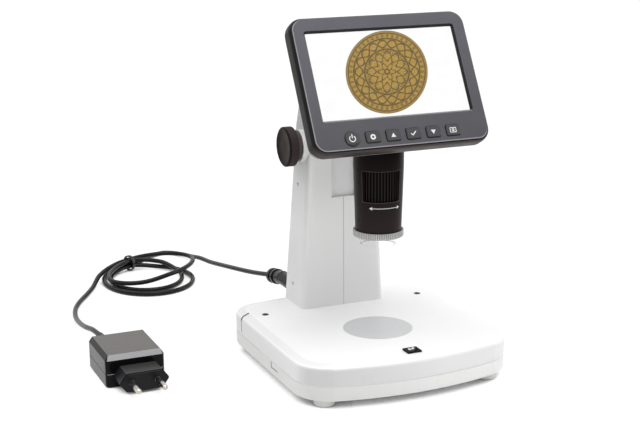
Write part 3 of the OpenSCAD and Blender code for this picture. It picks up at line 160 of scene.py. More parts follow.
def facing(tree, direction):
    """How far a face looks in a direction of the frame, 1 where it looks straight that way."""
    n = add(tree, "ShaderNodeVectorMath", operation="DOT_PRODUCT")
    n.inputs[1].default_value = direction
    tree.links.new(add(tree, "ShaderNodeTexCoord").outputs["Normal"], n.inputs[0])
    return n.outputs["Value"]


def sideways(tree):
    """1 where a face looks straight left or right."""
    return calc(tree, "ABSOLUTE", facing(tree, RIGHT))


def reach(tree, direction, start=(0, 0, 0)):
    """Millimetres along a direction of the frame, from a point in millimetres."""
    n = add(tree, "ShaderNodeVectorMath", operation="DOT_PRODUCT")
    n.inputs[1].default_value = direction
    tree.links.new(add(tree, "ShaderNodeTexCoord").outputs["Object"], n.inputs[0])
    return calc(tree, "MULTIPLY_ADD", n.outputs["Value"], 1 / MM, -Vector(direction).dot(Vector(start)))


def bump(tree, height, depth, strength=1.0, under=None):
    """Bump of a depth in millimetres, on top of the one under it."""
    n = add(tree, "ShaderNodeBump")
    n.inputs["Strength"].default_value = strength
    n.inputs["Distance"].default_value = depth * MM
    tree.links.new(height, n.inputs["Height"])
    if under is not None:
        tree.links.new(under, n.inputs["Normal"])
    return n.outputs[0]


def shader(tree, **values):
    """The tree's surface, from values for its sockets, whose names have underscores here."""
    n = add(tree, "ShaderNodeBsdfPrincipled")
    out = add(tree, "ShaderNodeOutputMaterial")
    tree.links.new(n.outputs[0], out.inputs["Surface"])
    for key, value in values.items():
        feed(tree, n.inputs[key.replace("_", " ")], value)


# ---- camera, floor and light


def put_in_scene(name, data):
    """New object of a mesh, curve, camera or light."""
    made = bpy.data.objects.new(name, data)
    bpy.context.scene.collection.objects.link(made)
    return made


def make_camera():
    """A long lens at the front left, turned, tipped down and rolled a little."""
    turn, drop, roll = (math.radians(angle) for angle in (-23.32, 14.2, -0.32))
    right = Vector((math.cos(turn), math.sin(turn), 0))
    ahead = Vector((-math.sin(turn) * math.cos(drop), math.cos(turn) * math.cos(drop), -math.sin(drop)))
    up = right.cross(ahead)
    right, up = math.cos(roll) * right + math.sin(roll) * up, math.cos(roll) * up - math.sin(roll) * right
    data = bpy.data.cameras.new("camera")
    data.sensor_width = 36
    data.lens = 76.7
    data.clip_start, data.clip_end = 0.02, 60
    camera = put_in_scene("camera", data)
    place = Matrix((right, up, -ahead)).transposed().to_4x4()
    place.translation = Vector((-408.86, -859.53, 353.41)) * MM
    camera.matrix_world = place
    bpy.context.scene.camera = camera


def seen_directly(tree):
    """1 where a ray comes from the camera, a mirror or glass."""
    rays = add(tree, "ShaderNodeLightPath").outputs
    mirror_or_glass = calc(tree, "MAXIMUM", rays["Is Glossy Ray"], rays["Is Transmission Ray"])
    return calc(tree, "MAXIMUM", rays["Is Camera Ray"], mirror_or_glass)


def floor_material():
    """White to the eye, darker close to what stands on it, and a dim white to what it lights."""
    shadow_reach, seen_white = 0.014, 0.88
    material = bpy.data.materials.new("floor")
    tree = new_tree(material)
    near = add(tree, "ShaderNodeAmbientOcclusion", samples=8)
    near.inputs["Distance"].default_value = shadow_reach
    seen = seen_directly(tree)
    glow = add(tree, "ShaderNodeEmission")
    clearance = remap(tree, near.outputs["AO"], 0.18, 0.37, 0.04, seen_white)
    feed(tree, glow.inputs["Strength"], calc(tree, "MULTIPLY", seen, clearance))
    paint = add(tree, "ShaderNodeBsdfDiffuse")
    feed(tree, paint.inputs["Color"], blend(tree, seen, (0.8, 0.8, 0.8, 1), (0.18, 0.18, 0.18, 1)))
    both = add(tree, "ShaderNodeAddShader")
    tree.links.new(paint.outputs[0], both.inputs[0])
    tree.links.new(glow.outputs[0], both.inputs[1])
    tree.links.new(both.outputs[0], add(tree, "ShaderNodeOutputMaterial").inputs["Surface"])
    return material


def make_floor():
    """A white floor that keeps the object's shadow."""
    half, below = 12.0, 0.0002
    mesh = bpy.data.meshes.new("floor")
    corners = [(-half, -half, 0), (half, -half, 0), (half, half, 0), (-half, half, 0)]
    mesh.from_pydata(corners, [], [(0, 1, 2, 3)])
    mesh.materials.append(floor_material())
    floor = put_in_scene("floor", mesh)
    floor.location.z = -below


def make_world():
    """White all round, and about half as strong where it lights the object."""
    world = bpy.data.worlds.new("world")
    bpy.context.scene.world = world
    tree = new_tree(world)
    back = add(tree, "ShaderNodeBackground")
    back.inputs["Color"].default_value = (1, 1, 1, 1)
    feed(tree, back.inputs["Strength"], remap(tree, seen_directly(tree), 0, 1, 0.54, 1))
    tree.links.new(back.outputs[0], add(tree, "ShaderNodeOutputWorld").inputs["Surface"])


def add_light(name, kind, way, strength):
    data = bpy.data.lights.new(name, kind)
    data.energy = strength
    light = put_in_scene(name, data)
    light.rotation_mode = "QUATERNION"
    light.rotation_quaternion = Vector(way).to_track_quat("-Z", "Y")
    return light


def make_light():
    """Three wide soft boxes far away, and a strip at the right."""
    bpy.context.scene.view_settings.view_transform = "Standard"
    make_world()
    for name, way, strength, spread in (
        ("front_right", (-0.2, 0.3, -1), 1.1, 40),
        ("front", (0.2, 0.8, -0.8), 0.35, 50),
        ("left", (0.5, -0.42, -1), 0.75, 60),
    ):
        add_light(name, "SUN", way, strength).data.angle = math.radians(spread)
    at, aim = Vector((1.4, -0.05, 0.4)), Vector((0, -0.02, 0.15))
    strip = add_light("strip", "AREA", aim - at, 2.8)
    strip.location = at
    strip.data.shape = "RECTANGLE"
    strip.data.size, strip.data.size_y = 0.2, 0.9


# ---- paint for the different faces of a piece


def bezel_inset(tree, x, v):
    """Millimetres inwards from the outline of the bezel's face, a rectangle with round corners."""
    v = calc(tree, "SUBTRACT", v, BEZEL_MID)
    past_x = calc(tree, "SUBTRACT", calc(tree, "ABSOLUTE", x), BEZEL_W / 2 - BEZEL_CORNER)
    past_v = calc(tree, "SUBTRACT", calc(tree, "ABSOLUTE", v), BEZEL_H / 2 - BEZEL_CORNER)
    corner = radius_from(tree, calc(tree, "MAXIMUM", past_x, 0.0), calc(tree, "MAXIMUM", past_v, 0.0))
    flat = calc(tree, "MINIMUM", calc(tree, "MAXIMUM", past_x, past_v), 0.0)
    return calc(tree, "SUBTRACT", BEZEL_CORNER, calc(tree, "ADD", corner, flat))


def bezel_painted_light(tree, paint):
    """Painted light and shade on the face: painted shade darkening it downwards and to the right, a black lower
    and left edge as painted shade, and a pale line inside that edge as a painted highlight.
    Its outer sides are painted dark as shade and paler where they look down as a painted reflection; round the
    glass the inner sides are painted black as shade, the lower one pale as painted light."""
    x, v = reach(tree, RIGHT, SCREEN_MID), reach(tree, SCREEN_UP, SCREEN_MID)
    inset = bezel_inset(tree, x, v)
    lower_left = calc(tree, "MAXIMUM", remap(tree, x, -58, -62, 0, 1), remap(tree, v, -46, -50, 0, 1))
    # Painted shade: a black band along the lower and left edge, with a painted highlight line just inside it
    edge = calc(tree, "MULTIPLY", remap(tree, inset, 1.9, 2.1, 1, 0), lower_left)
    line = calc(tree, "MULTIPLY", within(tree, inset, 2.3, 0.35), lower_left)
    # Painted shade, darker towards the lower right of the face
    painted_shade_fall = calc(tree, "MULTIPLY_ADD", x, 0.3, calc(tree, "MULTIPLY", v, -1.0))
    paint = blend(tree, 1.0, paint, remap(tree, painted_shade_fall, -40, 70, 1.0, 0.74), "MULTIPLY")
    paint = coat(tree, edge, paint, (14, 10, 9))
    paint = coat(tree, calc(tree, "MULTIPLY", line, 0.85), paint, (158, 157, 161))

    # Round the glass: the inner sides are painted black as shade, the one that looks up pale as painted light
    lit_ledge = remap(tree, facing(tree, SCREEN_UP), 0.3, 0.9, 0, 1)
    lit_and_shaded_walls = coat(tree, lit_ledge, linear((10, 9, 10)), (150, 149, 150))
    # The outer sides are painted dark as shade, and paler where they look down as a painted reflection of the
    # table
    down = remap(tree, facing(tree, SCREEN_DOWN), 0.3, 0.8, 0, 1)
    outer = coat(tree, down, linear((12, 8, 7)), (62, 56, 55))
    near_glass = calc(tree, "MULTIPLY", within(tree, x, 0, 57), within(tree, v, 0, 33))
    sides = blend(tree, near_glass, outer, lit_and_shaded_walls)
    return blend(tree, remap(tree, facing(tree, SCREEN_OUT), 0.6, 0.85, 1, 0), paint, sides)


def back_painted_reflection(tree, paint):
    """Paler on the side that looks down at the table, a painted reflection of the table."""
    return coat(tree, remap(tree, facing(tree, SCREEN_DOWN), 0.4, 0.8, 0, 1), paint, (150, 146, 144))


def key_painted_shade(tree, paint):
    """Dark sides under a paler face, with dark left and lower edges; the dark sides and edges are painted
    shade.
    """
    left, low, width = -4.7, -3.4, 0.4
    x, v = reach(tree, RIGHT, (KEY_SHIFT, 0, 0)), reach(tree, SCREEN_UP, on_display(0, KEY_Y, 0))
    cell = calc(tree, "MULTIPLY", calc(tree, "FRACT", calc(tree, "DIVIDE", x, KEY_PITCH)), KEY_PITCH)
    cell = calc(tree, "SUBTRACT", cell, KEY_PITCH / 2)
    # Painted shade along the left and lower edges of each key
    edges = (remap(tree, place, start, start + width, 1, 0) for place, start in ((cell, left), (v, low)))
    paint = coat(tree, calc(tree, "MAXIMUM", *edges), paint, (12, 11, 12))
    # Painted shade on the sides of the keys
    return coat(tree, remap(tree, facing(tree, SCREEN_OUT), 0.6, 0.9, 1, 0), paint, (14, 13, 14))


def barrel_paint(tree, paint):
    """Browner and paler towards its lower end."""
    return coat(tree, remap(tree, reach(tree, UP), 104, 165, 1, 0), paint, (46, 39, 38))


def cap_ribs(tree):
    """1 on the cap's ribs."""
    turn = calc(tree, "ARCTAN2", reach(tree, REAR, (0, OPTIC_Y, 0)), reach(tree, RIGHT))
    return remap(tree, calc(tree, "COSINE", calc(tree, "MULTIPLY", turn, CAP_RIBS)), -0.4, 0.4, 0, 1)


def cap_ring(tree):
    """1 on the cap's ring, and 0 on the skirt below it."""
    return remap(tree, reach(tree, UP), CAP_RING_Z, CAP_RING_Z + 0.5, 0, 1)


def dial_paint(tree, paint):
    """Ribs paler on their crests."""
    r = radius_from(tree, reach(tree, RIGHT), reach(tree, REAR, (0, OPTIC_Y, 0)))
    return coat(tree, remap(tree, r, 14.5, 14.9, 0, 0.3), paint, (84, 76, 73))


def knob_paint_and_highlights(tree, paint):
    """A dark knurl whose crests are painted paler as highlights, and a paler collar behind it."""
    middle = (0, SHAFT_Y, SHAFT_Z)
    r = radius_from(tree, reach(tree, REAR, middle), reach(tree, UP, middle))
    out = calc(tree, "ABSOLUTE", reach(tree, RIGHT))
    rim = KNOB_START + COLLAR_W
    outer = rim + RIM_W
    # Painted highlights on the crests of the knurl
    crest_highlight = remap(tree, r, KNOB_R - 0.65, KNOB_R - 0.15, 0, 1)
    crest_highlight = calc(tree, "MULTIPLY", crest_highlight, remap(tree, out, outer - 1.3, outer - 0.9, 1, 0))
    paint = coat(tree, remap(tree, r, KNOB_R - 1, KNOB_R - 0.7, 0, 0.6), paint, (22, 17, 15))
    paint = coat(tree, remap(tree, out, rim - 0.2, rim, 0.9, 0), paint, (104, 96, 94))
    return coat(tree, crest_highlight, paint, (78, 71, 68))


def rocker_painted_glint(tree, paint):
    """A pale patch on each half, a painted highlight for the glint on the rocker, shaped like marks."""
    x, y = reach(tree, RIGHT), reach(tree, REAR, (0, SWITCH_Y, 0))
    # The pale patches are a painted highlight for the rocker's glint
    marks = calc(tree, "MAXIMUM", within(tree, x, -1.6, 0.9), within(tree, x, 1.3, 1.3))
    return coat(tree, calc(tree, "MULTIPLY", marks, within(tree, y, 0.7, 1.2)), paint, (236, 236, 238))


def bush_paint(tree, paint):
    """Pale bore."""
    out = calc(tree, "SUBTRACT", calc(tree, "ABSOLUTE", reach(tree, RIGHT)), CLIP_X)
    r = radius_from(tree, out, reach(tree, REAR, (0, CLIP_Y, 0)))
    return coat(tree, remap(tree, r, 1.55, 1.75, 1, 0), paint, (120, 114, 98))


def block_painted_light(top, side, front_bevel):
    """Painted light for a block that stands square: colours for its top, sides and front bevel that stand in
    for reflection and shade there, and its own colour elsewhere.
    """

    def over(tree, paint):
        # Painted reflection, painted shade and painted highlight, by the way each face looks
        for look, low, high, colour in (
            (facing(tree, UP), 0.85, 0.95, top),
            (sideways(tree), 0.85, 0.95, side),
            (facing(tree, (0, -0.707, 0.707)), 0.86, 0.93, front_bevel),
        ):
            paint = coat(tree, remap(tree, look, low, high, 0, 1), paint, colour)
        return paint

    return over


def column_painted_light(tree, paint):
    """Painted shade high on its sides, and painted light and shade on its front, darker low and paler high."""
    z = reach(tree, UP)
    # Painted light and shade on the front: darker low down, paler high up
    front = coat(tree, remap(tree, z, 45, 110, 0, 1), linear((230, 230, 231)), (249, 249, 247))
    paint = blend(tree, remap(tree, facing(tree, FRONT), 0.6, 0.9, 0, 1), paint, front)
    # Painted shade high on the sides, where the display shades them
    side = remap(tree, sideways(tree), 0.6, 0.9, 0, 1)
    return coat(tree, calc(tree, "MULTIPLY", side, remap(tree, z, 90, 190, 0.1, 1)), paint, (182, 181, 179))


def front_left_shade(tree):
    """1 at the front left corner of the base, falling to nothing along its sides; it marks where painted shade
    darkens the base.
    """
    return remap(tree, facing(tree, (-0.6, -0.8, 0)), 0.75, 0.95, 0, 1)


def tray_shade_and_parting_line(tree, paint):
    """Painted shade, greyer at its left and right and at the front left corner, and a grey line under its upper
    edge.
    """
    # Painted shade on the sides and at the front left corner
    paint = coat(tree, remap(tree, sideways(tree), 0.8, 0.95, 0, 1), paint, (233, 233, 232))
    paint = coat(tree, front_left_shade(tree), paint, (224, 224, 223))
    line = remap(tree, reach(tree, UP), PARTING_Z - 0.6, PARTING_Z - 0.5, 0, 0.4)
    return coat(tree, line, paint, (190, 190, 190))


def cover_painted_shade(tree, paint):
    """Painted shade: a greyer strip inside the upper edge at the left, and greyer sides, darkest at the front
    left corner.
    """
    look = facing(tree, UP)
    # Painted shade on the sloping strip inside the upper edge, at the left
    band = remap(tree, look, 0.82, 0.88, 0, 1)
    for place, low, high, share in (
        (reach(tree, RIGHT), -72, -50, 0.15), (reach(tree, UP), BASE_TOP - 0.07, BASE_TOP - 0.02, 0),
    ):  # fmt: skip
        band = calc(tree, "MULTIPLY", band, remap(tree, place, low, high, 1, share))
    paint = coat(tree, band, paint, (236, 236, 237))
    # Painted shade on the sides, darker still at the front left corner
    sides = coat(tree, front_left_shade(tree), linear((238, 238, 238)), (213, 213, 213))
    return blend(tree, remap(tree, look, 0.5, 0.65, 1, 0), paint, sides)


# ---- materials, each with the name it goes by here


def new_material(name):
    """A material, its empty tree, and the place of each point in the object."""
    material = bpy.data.materials.new(name)
    tree = new_tree(material)
    return material, tree, add(tree, "ShaderNodeTexCoord").outputs["Object"]


def moulded(name, colour, rough, tone=0.05, grain=0.35, depth=0.012, dust=0.0, smudge=0.09, over=None, **more):
    """Moulded plastic or rubber: a slow change of tone, a fine spark-eroded grain, smudges and dust.
    grain is the size of the grain in millimetres and depth its depth. over paints its different faces."""
    material, tree, where = new_material(name)
    base = linear(colour)
    slow = remap(tree, noise(tree, where, 26, 4, 0.6), 0.35, 0.65, 0, 1)
    paint = blend(tree, slow, scaled(base, 1 - tone), scaled(base, 1 + tone * 0.5))
    fineness = 1.0 / (grain * MM)
    fleck = remap(tree, noise(tree, where, fineness, 1), 0.3, 0.7, 0.94, 1.04)
    paint = blend(tree, 1.0, paint, fleck, "MULTIPLY")
    if over:
        paint = over(tree, paint)
    if dust:
        specks = remap(tree, noise(tree, where, 1150, 3, 0.7), 0.66, 0.74, 0, dust)
        paint = coat(tree, specks, paint, (205, 200, 192))
    wear = noise(tree, where, 60, 6, 0.65)
    gloss = remap(tree, wear, 0.3, 0.7, rough - smudge * 0.5, rough + smudge)
    normal = bump(tree, noise(tree, where, fineness, 2, 0.6), depth)
    normal = bump(tree, noise(tree, where, 45, 1), 0.02, 0.6, normal)
    shader(tree, Base_Color=paint, Roughness=gloss, Normal=normal, **more)
    return name, material


def metal(name, colour, rough, stretch, over=None):
    """Turned or brushed metal with fine lines across the stretch."""
    material, tree, where = new_material(name)
    base = linear(colour)
    lines = noise(tree, where, 2600, 3, 0.6, stretch)
    paint = blend(tree, remap(tree, lines, 0.3, 0.7, 0, 1), scaled(base, 0.88), base)
    tarnish = remap(tree, noise(tree, where, 130, 5, 0.7), 0.45, 0.75, 0, 0.35)
    paint = blend(tree, tarnish, paint, scaled(base, 0.72))
    if over:
        paint = over(tree, paint)
    gloss = remap(tree, lines, 0.3, 0.7, rough - 0.05, rough + 0.1)
    shader(tree, Base_Color=paint, Roughness=gloss, Metallic=1.0, Normal=bump(tree, lines, 0.006))
    return name, material


def clear(name, colour, rough, depth=0.004, ringed=False, **more):
    """Clear plastic or glass with faint ripples and wipe marks. ringed adds the cap's ring of milky ribs."""
    material, tree, where = new_material(name)
    tint = linear(colour)
    paint = blend(tree, noise(tree, where, 90, 3), tint, scaled(tint, 0.95))
    gloss = remap(tree, noise(tree, where, 75, 6, 0.7), 0.35, 0.75, rough, rough + 0.08)
    normal = bump(tree, noise(tree, where, 240, 2), depth)
    see_through = 1.0
    if ringed:
        ring, ribs = cap_ring(tree), cap_ribs(tree)
        paint = blend(tree, ring, paint, coat(tree, ribs, linear((176, 174, 172)), (240, 240, 239)))
        gloss = calc(tree, "MULTIPLY_ADD", ring, 0.4, gloss)
        normal = bump(tree, calc(tree, "MULTIPLY", ribs, ring), 0.2, 1.0, normal)
        see_through = calc(tree, "MULTIPLY_ADD", ring, -0.6, 1.0)
    shader(tree, Base_Color=paint, Roughness=gloss, Normal=normal, Transmission_Weight=see_through, **more)
    return name, material


def circuit(name, mask):
    """Solder mask over copper tracks, with pads."""
    material, tree, where = new_material(name)
    tracks = add(tree, "ShaderNodeTexBrick")
    for key, value in (
        ("Vector", where), ("Scale", 210), ("Mortar Size", 0.03),
        ("Color1", (0, 0, 0, 1)), ("Color2", (0.25, 0.25, 0.25, 1)), ("Mortar", (1, 1, 1, 1)),
    ):  # fmt: skip
        feed(tree, tracks.inputs[key], value)
    line = calc(tree, "MULTIPLY", tracks.outputs["Color"], 0.5)
    paint = coat(tree, line, linear(mask), [min(255, c * 1.5 + 12) for c in mask])
    pads = add(tree, "ShaderNodeTexVoronoi")
    pads.inputs["Scale"].default_value = 260
    tree.links.new(where, pads.inputs["Vector"])
    pad = remap(tree, pads.outputs["Distance"], 0.09, 0.12, 1, 0)
    paint = coat(tree, pad, paint, (206, 190, 140))
    gloss = remap(tree, pad, 0, 1, 0.35, 0.25)
    shader(tree, Base_Color=paint, Roughness=gloss, Normal=bump(tree, line, 0.03))
    return name, material


def wrapped(name, colour):
    """Shrink film over a flat cell, with creases."""
    material, tree, where = new_material(name)
    crease = noise(tree, where, 150, 5, 0.65, (1, 0.3, 1))
    base = linear(colour)
    paint = blend(tree, remap(tree, crease, 0.35, 0.7, 0, 1), base, scaled(base, 0.8))
    gloss = remap(tree, crease, 0.3, 0.7, 0.22, 0.42)
    shader(tree, Base_Color=paint, Roughness=gloss, Normal=bump(tree, crease, 0.15))
    return name, material


def rosette_marks(tree, x, y, r):
    """1 on the lines of the rosette, from places and a radius in millimetres."""
    turn = calc(tree, "ARCTAN2", y, x)

    def wave(count, phase=0.0):
        return calc(tree, "COSINE", calc(tree, "MULTIPLY_ADD", turn, count, phase))

    def line(radius, half):
        """1 on a curve and 0 past half millimetres from it."""
        away = calc(tree, "ABSOLUTE", calc(tree, "SUBTRACT", r, radius))
        return remap(tree, away, half * 0.4, half, 1, 0)

    def petals(radius, swing, count, half, phase=0.0):
        return line(calc(tree, "MULTIPLY_ADD", wave(count, phase), swing, radius), half)

    beads = calc(tree, "MULTIPLY", line(26.4, 1.7), calc(tree, "GREATER_THAN", wave(44), 0.1))
    marks = calc(tree, "MULTIPLY", beads, 0.7)
    for part in (
        line(28.4, 0.7), line(24.4, 0.8), petals(20.6, 2.9, 9, 1.0), petals(20.6, 2.9, 9, 1.0, math.pi),
        line(16.4, 0.9), petals(11.4, 3.5, 6, 1.0), petals(11.4, 3.5, 6, 1.0, math.pi),
        calc(tree, "MULTIPLY", remap(tree, wave(54), -0.2, 0.4, 0, 0.6), line(14.3, 2.2)),
        petals(5.0, 1.6, 6, 0.9), line(1.8, 0.9),
    ):  # fmt: skip
        marks = calc(tree, "MAXIMUM", marks, part)
    return marks


def picture(name):
    """What the screen shows: a golden rosette on white. The mesh's map is in millimetres from the middle."""
    material = bpy.data.materials.new(name)
    tree = new_tree(material)
    spot = add(tree, "ShaderNodeSeparateXYZ")
    tree.links.new(add(tree, "ShaderNodeTexCoord").outputs["UV"], spot.inputs[0])
    across = calc(tree, "ADD", spot.outputs[0], 0.4)
    above = calc(tree, "SUBTRACT", spot.outputs[1], 1.0)
    # The rosette leans a little on the screen
    x = calc(tree, "MULTIPLY_ADD", across, 0.975, calc(tree, "MULTIPLY", above, -0.2276))
    y = calc(tree, "MULTIPLY_ADD", across, 0.0668, calc(tree, "MULTIPLY", above, 0.9977))
    r = radius_from(tree, x, y)
    place = add(tree, "ShaderNodeCombineXYZ")
    tree.links.new(x, place.inputs[0])
    tree.links.new(y, place.inputs[1])
    flat = place.outputs[0]
    patina = remap(tree, noise(tree, flat, 0.35, 6, 0.7), 0.35, 0.7, 0, 1)
    sheen = remap(tree, noise(tree, flat, 2.2, 3), 0.45, 0.75, 0, 0.3)
    gold = linear((182, 146, 52))
    for mask, colour in (
        (patina, (144, 108, 30)),
        (remap(tree, y, -30, 30, 0.0, 0.25), (186, 154, 62)),
        (calc(tree, "MULTIPLY", rosette_marks(tree, x, y, r), 0.88), (58, 40, 8)),
        (sheen, (216, 188, 108)),
        (remap(tree, r, 29.2, 30.2, 0, 0.8), (84, 70, 44)),
    ):
        gold = coat(tree, mask, gold, colour)
    paper = blend(tree, noise(tree, flat, 0.03, 1), (0.99, 0.99, 0.99, 1), (1, 1, 1, 1))
    shown = blend(tree, remap(tree, r, 30.1, 30.5, 0, 1), gold, paper)
    cells = calc(tree, "SINE", calc(tree, "MULTIPLY", spot.outputs[0], 40))
    gloss = remap(tree, cells, -1, 1, 0.3, 0.36)
    shader(tree, Base_Color=(0.02, 0.02, 0.02, 1), Roughness=gloss, Emission_Color=shown, Emission_Strength=1.0,
           Specular_IOR_Level=0.15)  # fmt: skip
    return name, material


def make_materials():
    """Every material, by its name here."""
    white = dict(tone=0.02, grain=0.5, depth=0.006, smudge=0.06)
    black = dict(tone=0.2, dust=0.04)
    block = dict(tone=0.16, grain=0.55, depth=0.006, dust=0.03)
    dull = dict(Specular_IOR_Level=0.05)
    # Painted reflections on the adapter's top and sides, and a painted highlight on its front bevel
    adapter_painted_light = block_painted_light((98, 95, 92), (62, 59, 57), (166, 165, 168))
    # Painted reflection on the mains plug's top and painted shade on its sides
    plug_painted_light = block_painted_light((60, 58, 58), (12, 10, 10), (26, 25, 28))
    made = [
        moulded("white_cover", (250, 250, 250), 0.38, over=cover_painted_shade, **white),
        moulded("pale_tray", (245, 245, 244), 0.42, over=tray_shade_and_parting_line, **white),
        moulded("white_column", (236, 236, 236), 0.42, over=column_painted_light, **white),
        moulded("white_slider", (246, 246, 246), 0.4, **white),
        moulded("foot_rubber", (232, 232, 230), 0.6, tone=0.1, depth=0.03),
        moulded("stage_plate", (204, 205, 206), 0.32, tone=0.03, depth=0.004, Coat_Weight=0.15),
        moulded("black_plastic", (24, 23, 24), 0.3, **black),
        moulded("switch_black", (16, 15, 16), 0.4, tone=0.2, dust=0.02, **dull),
        moulded("rocker", (24, 24, 26), 0.2, tone=0.15, depth=0.001, smudge=0.03, over=rocker_painted_glint),
        moulded("knob", (36, 28, 26), 0.42, tone=0.2, grain=0.3, depth=0.02, dust=0.03,
                over=knob_paint_and_highlights, **dull),
        moulded("head_black", (30, 25, 25), 0.42, depth=0.02, **black, **dull),
        moulded("barrel", (11, 6, 4), 0.28, tone=0.18, depth=0.003, dust=0.015, over=barrel_paint, **dull),
        # Painted highlight on the barrel's rounded edges
        moulded("edge", (96, 88, 86), 0.3, tone=0.1, depth=0.002, **dull),
        moulded("dial", (7, 4, 3), 0.32, tone=0.2, depth=0.004, over=dial_paint, **dull),
        moulded("display_bezel", (99, 98, 104), 0.36, tone=0.08, grain=0.3, depth=0.008, dust=0.02,
                over=bezel_painted_light, Specular_IOR_Level=0.15),
        # Painted highlight on the bezel's rounded edges
        moulded("bezel_rim_highlight", (140, 139, 143), 0.3, tone=0.05, depth=0.002),
        moulded("display_back", (52, 49, 48), 0.34, tone=0.12, grain=0.4, dust=0.03, over=back_painted_reflection),
        moulded("keys", (56, 53, 56), 0.38, tone=0.1, grain=0.3, depth=0.008, dust=0.02, over=key_painted_shade),
        moulded("print", (238, 238, 238), 0.5, tone=0.06, grain=0.2, depth=0.004),
        moulded("cord", (14, 12, 11), 0.26, tone=0.2, grain=0.25, depth=0.004, dust=0.02,
                Specular_IOR_Level=0.2),
        moulded("plug_black", (15, 14, 14), 0.26, depth=0.006, Specular_IOR_Level=0.15, **black),
        moulded("adapter", (12, 11, 11), 0.2, over=adapter_painted_light, Specular_IOR_Level=0.12, **block),
        moulded("plug_body", (30, 29, 32), 0.3, over=plug_painted_light, Specular_IOR_Level=0.15, **block),
        moulded("sleeve", (26, 25, 26), 0.35, tone=0.2, depth=0.008),
        moulded("seam", (160, 161, 164), 0.6, tone=0.1),
        moulded("groove", (70, 70, 73), 0.6, tone=0.1),
        metal("steel", (190, 192, 196), 0.28, (1, 1, 0.15)),
        metal("bronze", (196, 150, 88), 0.3, (0.15, 1, 1)),
        metal("bush", (74, 66, 52), 0.35, (1, 1, 0.2), over=bush_paint),
        metal("panel_frame", (150, 152, 156), 0.4, (0.2, 1, 1)),
        metal("pins", (206, 200, 190), 0.2, (1, 0.15, 1)),
        clear("lens", (236, 244, 250), 0.0, IOR=1.52),
        clear("clear", (252, 252, 252), 0.02, ringed=True, IOR=1.4),
        clear("screen_glass", (254, 254, 254), 0.0, 0.0004, IOR=1.2),
        circuit("board", (22, 74, 46)),
        circuit("light_board", (196, 196, 190)),
        picture("panel"),
        wrapped("battery", (70, 120, 165)),
    ]  # fmt: skip
    return dict(made)


# The solids that take each material
FINISH = {
    "white_cover": "base_cover",
    "pale_tray": "base_tray",
    "white_column": "column_left column_right",
    "white_slider": "focus_carriage",
    "foot_rubber": "base_feet",
    "steel": "base_screws column_screws head_screws display_screws "
             "guide_rods focus_shaft hinge_pin card_socket",
    "bush": "clip_bushes",
    "stage_plate": "stage_plate",
    "board": "stage_light_board sensor_board main_board key_board",
    "light_board": "ring_light_board",
    "black_plastic": "power_socket lens_cell cord_tie",
    "switch_black": "light_switch_frame",
    "rocker": "light_switch_rocker",
    "bronze": "shaft_bushes focus_pinion focus_rack",
    "knob": "focus_knob_left focus_knob_right",
    "head_black": "head_housing head_lid",
    "barrel": "barrel",
    "dial": "zoom_dial",
    "lens": "objective_lens",
    "clear": "clear_cap",
    "display_bezel": "display_bezel",
    "display_back": "display_back",
    "screen_glass": "screen_glass",
    "panel_frame": "lcd_panel",
    "battery": "battery",
    "keys": "power_button menu_button up_button ok_button down_button camera_button",
    "plug_black": "power_plug adapter_boot",
    "adapter": "adapter_cover adapter_base",
    "plug_body": "mains_plug",
    "pins": "mains_pins",
    "sleeve": "pin_sleeves",
    "cord": "cord_lead cord_loops cord_tail",
}


# ---- carried-over solids


def smoothing_nodes(angle):
    """Geometry nodes that merge split corners, and shade smooth where faces meet at less than an angle."""
    tree = bpy.data.node_groups.new("shade_by_angle", "GeometryNodeTree")
    tree.interface.new_socket("Geometry", in_out="INPUT", socket_type="NodeSocketGeometry")
    tree.interface.new_socket("Geometry", in_out="OUTPUT", socket_type="NodeSocketGeometry")
    start, end = add(tree, "NodeGroupInput"), add(tree, "NodeGroupOutput")
    plain = add(tree, "GeometryNodeRemoveAttribute")
    plain.inputs["Name"].default_value = "custom_normal"
    merge = add(tree, "GeometryNodeMergeByDistance")
    merge.inputs["Distance"].default_value = 2e-6
    faces = add(tree, "GeometryNodeSetShadeSmooth", domain="FACE")
    edges = add(tree, "GeometryNodeSetShadeSmooth", domain="EDGE")
    bend = add(tree, "GeometryNodeInputMeshEdgeAngle")
    # The base's sloping band meets its flat top at about 9 degrees, and that crease stays
    crease = add(tree, "FunctionNodeCompare", data_type="FLOAT", operation="EQUAL")
    crease.inputs["B"].default_value = math.radians(8.8)
    crease.inputs["Epsilon"].default_value = math.radians(1)
    below = add(tree, "FunctionNodeCompare", data_type="FLOAT", operation="LESS_THAN")
    below.inputs[1].default_value = angle
    soft = add(tree, "FunctionNodeBooleanMath", operation="NIMPLY")
    tree.links.new(below.outputs[0], soft.inputs[0])
    tree.links.new(crease.outputs[0], soft.inputs[1])
    tree.links.new(start.outputs[0], plain.inputs[0])
    tree.links.new(plain.outputs[0], merge.inputs[0])
    tree.links.new(merge.outputs[0], faces.inputs[0])
    tree.links.new(faces.outputs[0], edges.inputs[0])
    tree.links.new(bend.outputs["Unsigned Angle"], crease.inputs["A"])
    tree.links.new(bend.outputs["Unsigned Angle"], below.inputs[0])
    tree.links.new(soft.outputs[0], edges.inputs["Shade Smooth"])
    tree.links.new(edges.outputs[0], end.inputs[0])
    return tree


